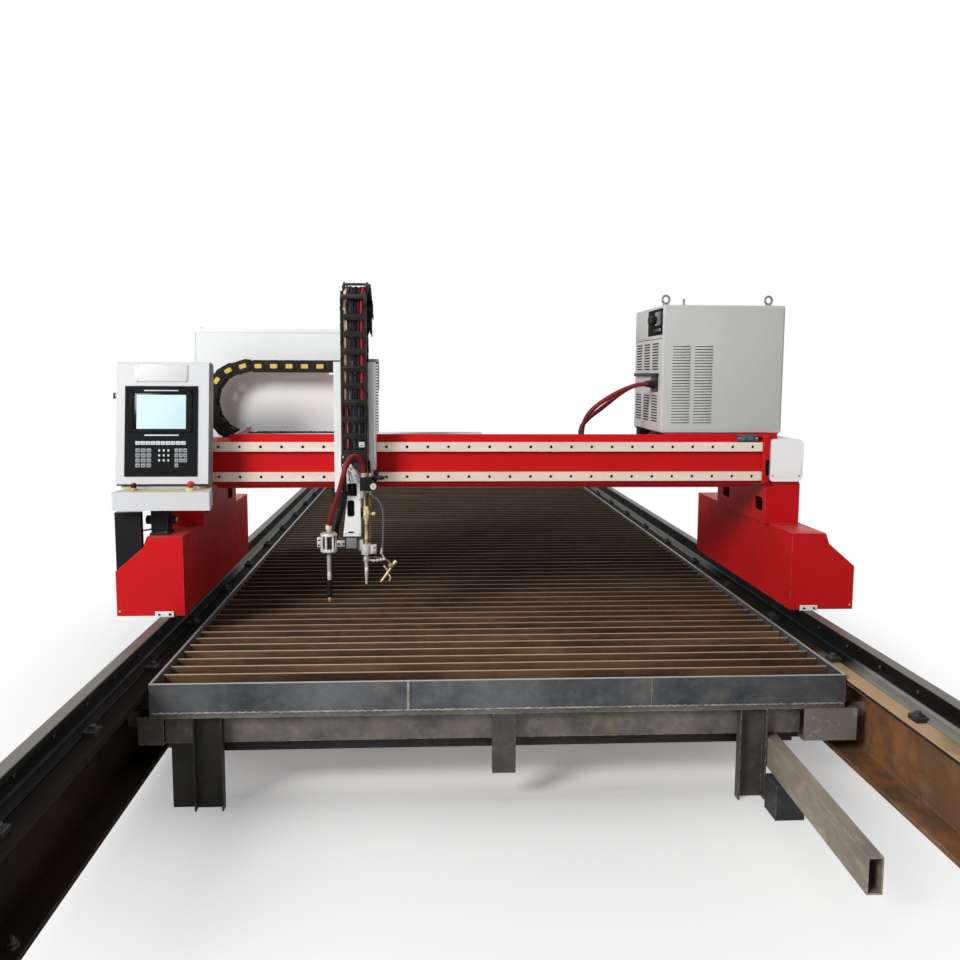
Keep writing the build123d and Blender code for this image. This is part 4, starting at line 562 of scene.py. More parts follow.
class Shape:
    """Closed solids gathered in one mesh, in millimetres, each with its own finish."""

    def __init__(self, placing=None):
        self.mesh = bmesh.new()
        self.finishes = []
        self.placing = placing

    def solid(self, points, faces, look, soft=0.0, segments=2, turn=None):
        """Adds one closed solid; soft is the radius of its sharp edges."""
        if look not in self.finishes:
            self.finishes.append(look)
        turn = turn or Matrix()
        spots = [self.mesh.verts.new(turn @ Vector(point)) for point in points]
        made = [self.mesh.faces.new([spots[i] for i in face]) for face in faces]
        bmesh.ops.recalc_face_normals(self.mesh, faces=made)
        index = self.finishes.index(look)
        for face in made:
            face.material_index = index
        if soft:
            edges = {edge for face in made for edge in face.edges if edge.calc_face_angle(0.0) > SHARP_ANGLE}
            bmesh.ops.bevel(self.mesh, geom=list(edges), offset=soft, segments=segments, profile=EDGE_PROFILE,
                            affect="EDGES", clamp_overlap=True, material=-1)

    def blocks(self, look, soft, *boxes, segments=2, turn=None):
        """Boxes, each from its two places along X, Y and Z."""
        faces = [(0, 1, 3, 2), (4, 6, 7, 5), (0, 4, 5, 1), (2, 3, 7, 6), (0, 2, 6, 4), (1, 5, 7, 3)]
        for box in boxes:
            points = [(x, y, z) for x in box[:2] for y in box[2:4] for z in box[4:]]
            self.solid(points, faces, look, soft, segments, turn)

    def prism(self, axis, outline, span, look, soft=0.0, segments=2):
        """Outline in the plane across an axis, drawn out along it."""
        points = [AXES[axis](a, b, h) for h in span for a, b in outline]
        self.solid(points, ends(2, len(outline)) + skin(2, len(outline)), look, soft, segments)

    def lathe(self, axis, centres, profile, look, sides=24, soft=0.0, turn=None):
        """Rings of radius and height round an axis, closed at both ends, at one centre or a list of them."""
        for centre in centres if isinstance(centres, list) else [centres]:
            points = [AXES[axis](a, b, h) for r, h in profile for a, b in circle(sides, r, centre)]
            faces = ends(len(profile), sides) + skin(len(profile), sides)
            self.solid(points, faces, look, soft, 2, turn)

    def drum(self, axis, centres, radius, span, look, sides=24, soft=0.0):
        """Plain round bar, at one centre or a list of them."""
        self.lathe(axis, centres, [(radius, h) for h in span], look, sides, soft)

    def pipe(self, axis, centre, outer, inner, span, look, sides=32, soft=0.0):
        """Open ring with a bore."""
        loop = [(outer, span[0]), (outer, span[1]), (inner, span[1]), (inner, span[0])]
        points = [AXES[axis](a, b, h) for r, h in loop for a, b in circle(sides, r, centre)]
        self.solid(points, skin(4, sides, closed=True), look, soft)

    def ring(self, axis, centre, height, radius, wire, look, turn):
        """Round wire bent into a closed ring."""
        points = []
        for a, b in circle(RING_SIDES):
            for out, up in circle(WIRE_SIDES, wire):
                reach = radius + out
                points.append(AXES[axis](centre[0] + reach * a, centre[1] + reach * b, height + up))
        self.solid(points, skin(RING_SIDES, WIRE_SIDES, closed=True), look, turn=turn)

    def tube(self, points, radius, look, sides=10):
        """Round rod through points, with flat ends."""
        line = [Vector(point) for point in points]
        spots = []
        before = None
        for i, here in enumerate(line):
            along = (line[min(i + 1, len(line) - 1)] - line[max(i - 1, 0)]).normalized()
            side = before - along * before.dot(along) if before else along.orthogonal()
            before = side.normalized()
            other = along.cross(before)
            spots += [here + radius * (before * a + other * b) for a, b in circle(sides)]
        self.solid(spots, ends(len(line), sides) + skin(len(line), sides), look)

    def data(self, name):
        """Finished mesh in metres."""
        made = bpy.data.meshes.new(name)
        if self.placing:
            bmesh.ops.transform(self.mesh, matrix=self.placing, verts=self.mesh.verts)
        bmesh.ops.transform(self.mesh, matrix=MILLI, verts=self.mesh.verts)
        self.mesh.to_mesh(made)
        self.mesh.free()
        for look in self.finishes:
            made.materials.append(finish(look))
        return made

    def done(self, name, body, slot, replaces=()):
        """Object of the shape, on its body."""
        return place(self.data(name), name, body, replaces)


def add_object(name, data):
    """New object in the scene."""
    made = bpy.data.objects.new(name, data)
    bpy.context.scene.collection.objects.link(made)
    return made


def place(data, name, body, replaces=()):
    """Object of a finished mesh that rides on a body, or bends between two."""
    data.polygons.foreach_set("use_smooth", [True] * len(data.polygons))
    data.set_sharp_from_angle(angle=SMOOTH_ANGLE)
    made = add_object(name, data)
    if isinstance(body, str):
        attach(made, body)
    else:
        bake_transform(made)
    if replaces:
        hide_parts(*replaces)
    return made


# Geometry node trees

def node_tree(name, inputs):
    """Empty tree with named inputs and a geometry output."""
    tree = bpy.data.node_groups.new(name, "GeometryNodeTree")
    for label, kind in inputs:
        tree.interface.new_socket(label, in_out="INPUT", socket_type="NodeSocket" + kind)
    tree.interface.new_socket("Geometry", in_out="OUTPUT", socket_type="NodeSocketGeometry")
    return tree, tree.nodes.new("NodeGroupInput").outputs


def close_tree(tree, instances, look):
    """Ends a tree in real geometry with its finish."""
    solid = node(tree, "GeometryNodeRealizeInstances", {0: instances}).outputs[0]
    painted = node(tree, "GeometryNodeSetMaterial", {"Geometry": solid, "Material": look}).outputs[0]
    tree.links.new(painted, tree.nodes.new("NodeGroupOutput").inputs[0])


def close_with_copies(tree, given, spots, rotation):
    """Ends a tree in copies of its unit at the spots."""
    unit = node(tree, "GeometryNodeGeometryToInstance", {0: given["Unit"]}).outputs[0]
    ins = {"Points": spots, "Instance": unit, "Rotation": rotation}
    close_tree(tree, node(tree, "GeometryNodeInstanceOnPoints", ins).outputs[0], given["Finish"])


def resampled_path(tree, given, step):
    """Path of the tree, cut into even steps."""
    path = node(tree, "GeometryNodeObjectInfo", {"Object": given["Path"]}).outputs["Geometry"]
    return node(tree, "GeometryNodeResampleCurve", {"Curve": path, "Length": step}, mode="LENGTH").outputs[0]


def make_rows_tree():
    """Copies of a unit in rows, each with a small chance lean."""
    tree, given = node_tree("rows_of_units", [
        ("Unit", "Geometry"), ("Start", "Vector"), ("Step", "Vector"), ("Count", "Int"),
        ("Row Step", "Vector"), ("Rows", "Int"), ("Lean", "Vector"), ("Seed", "Int"), ("Finish", "Material")])
    row = node(tree, "GeometryNodeMeshLine", {"Count": given["Count"], "Offset": given["Step"]},
               mode="OFFSET").outputs[0]
    starts = node(tree, "GeometryNodeMeshLine", {"Count": given["Rows"], "Start Location": given["Start"],
                                                 "Offset": given["Row Step"]}, mode="OFFSET").outputs[0]
    spots = node(tree, "GeometryNodeInstanceOnPoints", {"Points": starts, "Instance": row}).outputs[0]
    spots = node(tree, "GeometryNodeRealizeInstances", {0: spots}).outputs[0]
    back = stretched(tree, given["Lean"], (-1, -1, -1))
    lean = node(tree, "FunctionNodeRandomValue", {0: back, 1: given["Lean"], "Seed": given["Seed"]},
                data_type="FLOAT_VECTOR").outputs[0]
    close_with_copies(tree, given, spots, lean)


def make_links_tree(name, axis, pivot):
    """Copies of a unit along a path, each turned to follow it."""
    tree, given = node_tree(name, [
        ("Unit", "Geometry"), ("Path", "Object"), ("Pitch", "Float"), ("Finish", "Material")])
    spots = resampled_path(tree, given, given["Pitch"])
    along = node(tree, "GeometryNodeInputTangent").outputs[0]
    facing = node(tree, "FunctionNodeAlignRotationToVector", {"Vector": along}, axis=axis, pivot_axis=pivot)
    close_with_copies(tree, given, spots, facing.outputs[0])


def make_ribs_tree():
    """Ribbed tube along a path."""
    tree, given = node_tree("ribbed_tube", [
        ("Unit", "Geometry"), ("Path", "Object"), ("Pitch", "Float"), ("Root Radius", "Float"),
        ("Crest Radius", "Float"), ("Finish", "Material")])
    fine = resampled_path(tree, given, product(tree, given["Pitch"], 0.125))
    reach = node(tree, "GeometryNodeSplineParameter").outputs["Length"]
    turn = node(tree, "ShaderNodeMath", {0: reach, 1: given["Pitch"]}, operation="DIVIDE").outputs[0]
    wave = node(tree, "ShaderNodeMath", {0: product(tree, turn, 2 * math.pi)}, operation="SINE").outputs[0]
    size = ranged(tree, wave, -0.5, 0.5, given["Root Radius"], given["Crest Radius"])
    ring = node(tree, "GeometryNodeCurvePrimitiveCircle", {"Resolution": 20, "Radius": 1.0}).outputs[0]
    tube = node(tree, "GeometryNodeCurveToMesh", {"Curve": fine, "Profile Curve": ring, "Scale": size,
                                                  "Fill Caps": True}).outputs[0]
    close_tree(tree, tube, given["Finish"])


def grown(unit, tree_name, values):
    """Plain mesh that a tree makes from a unit mesh."""
    holder = add_object("unit", unit)
    change = holder.modifiers.new("grow", "NODES")
    change.node_group = bpy.data.node_groups[tree_name]
    for item in change.node_group.interface.items_tree:
        if item.in_out == "INPUT" and item.name in values:
            change[item.identifier] = values[item.name]
    bpy.context.view_layer.update()
    made = bpy.data.meshes.new_from_object(holder.evaluated_get(bpy.context.evaluated_depsgraph_get()))
    bpy.data.objects.remove(holder)
    bpy.data.meshes.remove(unit)
    return made


def rows(name, unit, body, slot, *runs, lean=(0, 0, 0), seed=1, replaces=(), placing=None):
    """One piece of repeated units; a run has start, step and count in millimetres, then row step and rows."""
    look = finish(unit.finishes[0])
    shape = unit.data("unit")
    whole = bmesh.new()
    for run in runs:
        start, step, count, row_step, row_count = run if len(run) == 5 else (*run, (0, 0, 0), 1)
        made = grown(shape.copy(), "rows_of_units", {
            "Start": metres(start), "Step": metres(step), "Count": count, "Row Step": metres(row_step),
            "Rows": row_count, "Lean": lean, "Seed": seed, "Finish": look})
        whole.from_mesh(made)
        bpy.data.meshes.remove(made)
    bpy.data.meshes.remove(shape)
    if placing:
        bmesh.ops.transform(whole, matrix=MILLI @ placing @ MILLI.inverted(), verts=whole.verts)
    data = bpy.data.meshes.new(name)
    whole.to_mesh(data)
    whole.free()
    data.materials.append(look)
    return place(data, name, body, replaces)


def curve_through(name, points, kind):
    """Curve object with one open spline of a kind, by points in millimetres."""
    line = bpy.data.curves.new(name, "CURVE")
    line.dimensions = "3D"
    spline = line.splines.new(kind)
    spline.points.add(len(points) - 1)
    for spot, point in zip(spline.points, points):
        spot.co = (*metres(point), 1.0)
    return add_object(name, line)


def links(name, unit, body, points, lie, replaces=()):
    """One piece of chain links along a path."""
    look = finish(unit.finishes[0])
    path = curve_through("path", points, "POLY")
    values = {"Path": path, "Pitch": sizes().link_pitch, "Finish": look}
    made = grown(unit.data("unit"), "links_" + lie, values)
    bpy.data.objects.remove(path)
    made.name = name
    return place(made, name, body, replaces)


def hose_curve(name, points, radius, look):
    """Round hose on a smooth line with the route's points as its control points."""
    made = curve_through(name, points, "NURBS")
    line = made.data
    line.splines[0].order_u = 3
    line.splines[0].use_endpoint_u = True
    line.resolution_u = 10
    line.bevel_depth = radius / 1000
    line.bevel_resolution = 5
    line.use_fill_caps = True
    if look:
        line.materials.append(finish(look))
    return made


def steps_from(start, *moves):
    """Points by their moves from a start, which is the first of them."""
    return [start] + [tuple(a + b for a, b in zip(start, move)) for move in moves]


def seen_directly(tree):
    """1 for what the camera sees, also in a reflection or through glass."""
    rays = node(tree, "ShaderNodeLightPath").outputs
    seen = rays["Is Camera Ray"]
    for label in ("Is Glossy Ray", "Is Transmission Ray"):
        seen = node(tree, "ShaderNodeMath", {0: seen, 1: rays[label]}, operation="MAXIMUM").outputs[0]
    return seen


# Stage values: camera fitted to the photograph, lamps by name, place, size and watts, floor and sky

PICTURE_PIXELS = 960.0
FOCAL_PIXELS = 935.0
SENSOR_WIDTH = 36.0
CAMERA_PLACE = (-0.3028, -6.2618, 1.7151)
CAMERA_HEADING = -3.242
CAMERA_DIP = 6.456
CAMERA_ROLL = 0.249
LAMPS = (("key", (-6.5, -9.0, 5.6), 3.2, 980), ("top", (0.0, -1.0, 8.0), 8.0, 200))
LAMP_AIM = (0.0, -1.2, 0.9)
SKY_STRENGTH = 0.175
CAMERA_REACH = 200.0
FLOOR_HALF = 60.0
FLOOR_COLOUR = (0.86, 0.86, 0.855, 1.0)
FLOOR_OVAL = (0.5, 0.31, 0.0)
FADE_START = 0.72
FADE_END = 1.5
LEAST_FADE = 0.08


# Operators, one for each piece or group of like pieces

class MACHINE_OT_stage(bpy.types.Operator):
    """Pale floor, soft light and the camera at the photograph's place"""
    bl_idname = "machine.stage"
    bl_label = "Stage"

    def execute(self, context):
        scene = context.scene
        scene.view_settings.view_transform = "Standard"
        self.floor()
        scene.world = self.sky()
        for label, spot, size, watts in LAMPS:
            lamp = bpy.data.lights.new(label, "AREA")
            lamp.size = size
            lamp.energy = watts
            held = add_object(label, lamp)
            held.location = spot
            aim = Vector(LAMP_AIM) - Vector(spot)
            held.rotation_euler = aim.to_track_quat("-Z", "Y").to_euler()
        lens = bpy.data.cameras.new("camera")
        lens.sensor_width = SENSOR_WIDTH
        lens.lens = SENSOR_WIDTH * FOCAL_PIXELS / PICTURE_PIXELS
        lens.clip_end = CAMERA_REACH
        scene.camera = add_object("camera", lens)
        turn = Matrix.Translation(CAMERA_PLACE)
        for axis, degrees in (("Z", CAMERA_HEADING), ("X", 90 - CAMERA_DIP), ("Z", CAMERA_ROLL)):
            turn = turn @ Matrix.Rotation(math.radians(degrees), 4, axis)
        scene.camera.matrix_world = turn
        return {"FINISHED"}

    def floor(self):
        """Wide floor that fades to white paper away from the machine."""
        corners = [(x * FLOOR_HALF, y * FLOOR_HALF, 0) for x, y in ((-1, -1), (1, -1), (1, 1), (-1, 1))]
        data = bpy.data.meshes.new("studio_floor")
        data.from_pydata(corners, [], [(0, 1, 2, 3)])
        tree, shader = start_finish("studio_floor")
        set_values(shader, Base_Color=FLOOR_COLOUR, Roughness=0.9, Specular_IOR_Level=0.0)
        oval = stretched(tree, spot_on_piece(tree), FLOOR_OVAL)
        reach = node(tree, "ShaderNodeVectorMath", {0: oval}, operation="LENGTH").outputs["Value"]
        paper = node(tree, "ShaderNodeEmission", {"Color": (1, 1, 1, 1), "Strength": 1.0}).outputs[0]
        ins = {0: reach, 1: FADE_START, 2: FADE_END, 3: LEAST_FADE, 4: 1.0}
        fade = node(tree, "ShaderNodeMapRange", ins, interpolation_type="SMOOTHSTEP").outputs[0]
        share = product(tree, seen_directly(tree), fade)
        blend = node(tree, "ShaderNodeMixShader", {0: share, 1: shader.outputs[0], 2: paper}).outputs[0]
        tree.links.new(blend, tree.nodes["Material Output"].inputs["Surface"])
        data.materials.append(finish("studio_floor"))
        add_object("studio_floor", data)

    def sky(self):
        """White to the camera, and a soft even light for the machine."""
        world = bpy.data.worlds.new("studio")
        world.use_nodes = True
        tree = world.node_tree
        tree.nodes.clear()
        strength = ranged(tree, seen_directly(tree), 0.0, 1.0, SKY_STRENGTH, 1.0)
        light = node(tree, "ShaderNodeBackground", {"Color": (1, 1, 1, 1), "Strength": strength}).outputs[0]
        node(tree, "ShaderNodeOutputWorld", {"Surface": light})
        return world


# Route of the power cables, in millimetres: reach from the plugs and drop, then drift to the rear

PLUG_X = 815
PLUG_Z = 1670
CABLE_DROP = ((0, 0), (45, 0), (103, 15), (158, 39), (210, 69), (260, 103), (301, 139), (327, 182),
              (340, 225), (340, 265))
CABLE_DRIFT = (0, 0, 3, 6, 9, 11, 12, 12, 12, 12)

# Sag of each cable, and the share of it that also moves the cable towards its plug
NO_SAG = (0,) * len(CABLE_DROP)
REAR_SAG = (0, 0, 6, 14, 22, 26, 22, 12, 0, 0)
SAG_SHIFT = 0.8


class MACHINE_OT_hoses(bpy.types.Operator):
    """Power cables, torch hose, gas hoses and the ribbed hose"""
    bl_idname = "machine.hoses"
    bl_label = "Hoses"

    def execute(self, context):
        for name, side, sag in (("power_cable_front", -1602, NO_SAG), ("power_cable_rear", -1552, REAR_SAG)):
            route = [(PLUG_X - along + low * SAG_SHIFT, side + aside, PLUG_Z - down - low)
                     for (along, down), aside, low in zip(CABLE_DROP, CABLE_DRIFT, sag)]
            self.lay(name, route, 0.474, 11, "hose_red", "gantry", "red_rubber", "power_cables")
        route = steps_from((-600, -1914.3, 1237), (1, 0, 45), (-7, -16, 78), (-28, -36, 101), (-52, -56, 101),
                           (-73, -71, 70), (-83, -76, 26), (-97, -64, -24), (-115, -44, -81),
                           (-134, -18, -134), (-151, 8, -186), (-165, 35, -221), (-167, 35, -252))
        self.lay("torch_hose", route, 0.533, 12, "hose_red", "lifter_body", "red_rubber", "plasma_hose")
        for name, x in (("gas_hose_left", -588), ("gas_hose_right", -572)):
            route = steps_from((x, -1889.3, 1237), (0, 0, 24), (-5, 14, 49), (-5, 14, 73))
            self.lay(name, route, 0.076, 6, "hose_black", "lifter_body", "black_rubber", "gas_hoses")
        route = steps_from((-570, -1889.3, 1175), (0, 0, -20), (16, 1, -34), (38, 4, -50), (55, 7, -82),
                           (60, 9, -125), (60, 10, -175), (58, 10, -220), (56, 10, -265), (50, 10, -305))
        self.lay("igniter_hose", route, 0.318, 5, "hose_grey", "lifter_body", "black_rubber", "gas_hoses")
        route = steps_from((-694.7, -1839, 1310), (0, 0, -40), (1, 0, -150), (-18, 0, -245), (-38, 5, -320),
                           (-41.3, 9, -345), (-41.3, 9, -371))
        line = hose_curve("conduit_line", route, 0, None)
        data = grown(bpy.data.meshes.new("empty"), "ribbed_tube", {
            "Path": line, "Pitch": sizes().rib_pitch, "Root Radius": 0.010, "Crest Radius": 0.0125,
            "Finish": finish("hose_black")})
        spots = bpy.data.meshes.new_from_object(line.evaluated_get(context.evaluated_depsgraph_get()))
        bpy.data.objects.remove(line)
        data.name = "ribbed_hose"
        ribbed = place(data, "ribbed_hose", "lifter_body", ("gas_hoses",))
        return {"FINISHED"}

    def lay(self, name, route, length, radius, look, body, slot, stands_for):
        """One hose on its body, in place of the plain one."""
        hose = hose_curve(name, route, radius, look)
        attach(hose, body)
        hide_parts(stands_for)


NODES_OF_FINISH = {
    "aluminium": "torch_clamp plasma_torch",
    "beam_gear": "beam_rack",
    "black_paint": "carriage_frames drive_motors console_post gas_block",
    "black_plastic": "x_chain_upper x_chain_bend z_chain_front z_chain_bend",
    "black_rubber": "power_cables plasma_hose gas_hoses",
    "brass": "flame_torch gas_valve_right gas_valve_front",
    "bright_steel": "guide_rails lift_screw",
    "cabinet_white": "cabinet_case cabinet_door",
    "carriage_white": "cross_carriage",
    "console_grey": "console_case",
    "cover_white": "end_covers",
    "dark_steel": "rail_pads rail_clamps runner_block",
    "frame_steel": "table_frame",
    "gear_steel": "rail_racks cross_pinion drive_pinion_left drive_pinion_right wheel_left_front"
                  " wheel_left_rear wheel_right_front wheel_right_rear",
    "grey_paint": "power_source",
    "key_brass": "key_switch",
    "leg_steel": "table_legs",
    "lifter_white": "lifter",
    "mill_steel": "table_skirt_front table_skirt_rear table_side_left table_side_right",
    "motor_black": "cross_motors",
    "panel_black": "console_panel",
    "red_paint": "carriage_shell_left carriage_shell_right column_left column_right beam",
    "red_plastic": "estop_button",
    "running_rail": "rail_left rail_right",
    "rusty_beam": "rail_beam_left rail_beam_right",
    "shelf_grey": "console_shelf",
    "slat_steel": "table_slats",
    "white_paint": "chain_trough",
    "worn_bar": "table_runner",
}


class MACHINE_OT_finishes(bpy.types.Operator):
    """Finishes of the machine, put on every piece of the frame"""
    bl_idname = "machine.finishes"
    bl_label = "Finishes"

    def execute(self, context):
        make_finishes()
        make_rows_tree()
        make_links_tree("links_level", "X", "Y")
        make_links_tree("links_upright", "Z", "X")
        make_ribs_tree()
        for look, names in NODES_OF_FINISH.items():
            for name in names.split():
                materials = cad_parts[name].data.materials
                materials.clear()
                materials.append(finish(look))
        return {"FINISHED"}


# Shares of the largest lean that a slat takes about X and Z

SLAT_TILT = 0.02
SLAT_SKEW = 0.05

# Upright weld seams of the skirt: place, waviness and its rate, front, step, radius, look and sides
UPRIGHT_SEAMS = (
    (-377, 2.2, 0.7, -2701, 4, 5.2, "weld_bead", 8), (-380, 1.8, 0.9, -2700.5, 4, 4.0, "zinc_steel", 8),
    (589, 0.8, 1.0, -2700.6, 5, 2.0, "weld_bead", 6))


class MACHINE_OT_table(bpy.types.Operator):
    """Slats and weld seams of the table"""
    bl_idname = "machine.table"
    bl_label = "Table"

    def execute(self, context):
        low, high = (corner * 1000 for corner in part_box("table_slats"))
        lean = sizes().slat_lean
        slat = Shape()
        slat.blocks("slat_steel", 0.6, (low.x, high.x, -3, 3, low.z, high.z), segments=1)
        rows("slats", slat, "base", "rusty_steel",
             ((0, low.y + 3, 0), (0, sizes().slat_pitch * 1000, 0), sizes().slat_count),
             lean=(lean * SLAT_TILT, 0, lean * SLAT_SKEW), seed=4, replaces=("table_slats",))
        seam = Shape()
        for x, sway, rate, y, step, radius, look, sides in UPRIGHT_SEAMS:
            line = [(x + sway * math.sin(z * rate), y, z) for z in range(404, 520, step)]
            seam.tube(line, radius, look, sides)
        seam.tube([(x, -2701.2 + 0.7 * math.sin(x * 0.37), 402.5 + 1.3 * math.sin(x * 0.21))
                   for x in range(-1372, 1373, 7)], 4.0, "weld_bead", 6)
        seam.done("skirt_weld_seams", "base", "mill_steel")
        return {"FINISHED"}


BOLTED_LENGTH = 8100


class MACHINE_OT_rails(bpy.types.Operator):
    """Bolts and nuts along the running rails"""
    bl_idname = "machine.rails"
    bl_label = "Rails"

    def execute(self, context):
        pitch = sizes().web_bolt_pitch * 1000
        count = int(BOLTED_LENGTH / pitch)
        for name, side in (("left", 1), ("right", -1)):
            bolt = Shape()
            bolt.drum("x", (0, 0), 8.5, (0, side * 8), "gear_steel", 6, 0.8)
            low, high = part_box("rail_" + name)
            middle = (low.x + high.x) * 500
            rows("web_bolts_" + name, bolt, "base", "rail_steel",
                 ((middle + side * 7, -count * pitch / 2, 567), (0, pitch, 0), count + 1))
        clamps = [((x, -3850, 0), (0, 700, 0), 12, (132, 0, 0), 2) for x in (-1566, 1434)]
        pads = [((x, y, 0), (0, 1950, 0), 5, (160, 0, 0), 2) for x in (-1580, 1420) for y in (-3960, -3840)]
        for name, profile, runs in (
                ("clamp_nuts", [(17, 518), (17, 521), (14, 521.5), (14, 532), (11, 534)], clamps),
                ("pad_nuts", [(22, 179.5), (22, 183), (17, 183.5), (17, 196), (9, 198), (9, 212)], pads)):
            nut = Shape()
            nut.lathe("z", (0, 0), profile, "dark_steel", 6)
            rows(name, nut, "base", "rusty_steel", *runs)
        return {"FINISHED"}


# Bends of the two chains, in millimetres: centre in the chain's plane, radius of its middle line, and runs

BEAM_BEND = (-1225, 1567)
BEAM_BEND_RADIUS = 184
BEAM_CHAIN_Y = -1360
BEAM_CHAIN_END = -850
BEAM_TOP_PITCHES = 4
BEAM_BEND_PITCHES = 13
BEND_WINDOW_PITCHES = 4
LIFT_BEND = (-1811, 2035)
LIFT_BEND_RADIUS = 75
LIFT_CHAIN_X = -641.5
LIFT_CHAIN_FOOT = 1348
LIFT_FRONT_PITCHES = 8
LIFT_BEND_PITCHES = 7

# Sway of the lift chain's rear run: width, foot, rise over which it grows, degrees over which it fades
SWAY = 24
SWAY_FOOT = 1866
SWAY_RISE = 110
SWAY_TURN = 195

# Cables in the lift chain: shift to the side, radius, upper look, lower look and waviness
LIFT_CABLES = (
    (-40, 7.5, "cable_cream", "cable_red", 1), (-26, 5.5, "cable_wine", "hose_black", 3),
    (-14, 6.5, "cable_grey", "cable_wine", -2), (-1, 5.5, "cable_blue", "cable_grey", 2),
    (11, 6.5, "hose_black", "cable_blue", -3), (24, 6, "cable_wine", "cable_grey", 1),
    (39, 8, "cable_red", "hose_black", 0))


def beam_link():
    """Black frame of one link of the beam's chain, lying along X."""
    made = Shape()
    for side in (-1, 1):
        made.prism("y", rounded(73, 63, 15, steps=3), (side * 43, side * 49), "black_plastic", 1.2, 1)
        made.prism("y", rounded(50, 38, 8, steps=3), (side * 48.5, side * 50.6), "black_plastic", 0.7, 1)
        made.drum("y", (39, 0), 31.6, (side * 36, side * 48.2), "black_plastic", 28, 0.8)
        made.blocks("black_plastic", 1.0, (-15, 15, -43, 43, side * 25, side * 31.5))
    return made


def link_windows():
    """Yellow windows on both sides of one link."""
    made = Shape()
    for side in (-1, 1):
        made.prism("y", rounded(36, 22, 5, steps=3), (side * 50, side * 52), "window_yellow", 0.8, 1)
    return made


def lift_link():
    """Open link of the lift chain, standing along Z."""
    made = Shape()
    for side in (-1, 1):
        made.prism("x", rounded(48, 77.6, 4, steps=2), (side * 49, side * 57), "black_plastic", 1.0)
        made.prism("x", rounded(34, 30, 12, (0, 38)), (side * 56, side * 60), "black_plastic", 0.8)
        made.prism("x", rounded(36, 44, 8), (side * 57, side * 59), "black_plastic", 0.6)
        made.blocks("black_plastic", 1.4, (-50, 50, side * 17, side * 24, -14, 14))
        made.blocks("black_plastic", 0.8, (-44, 44, side * 22, side * 25, -4, 4))
    return made


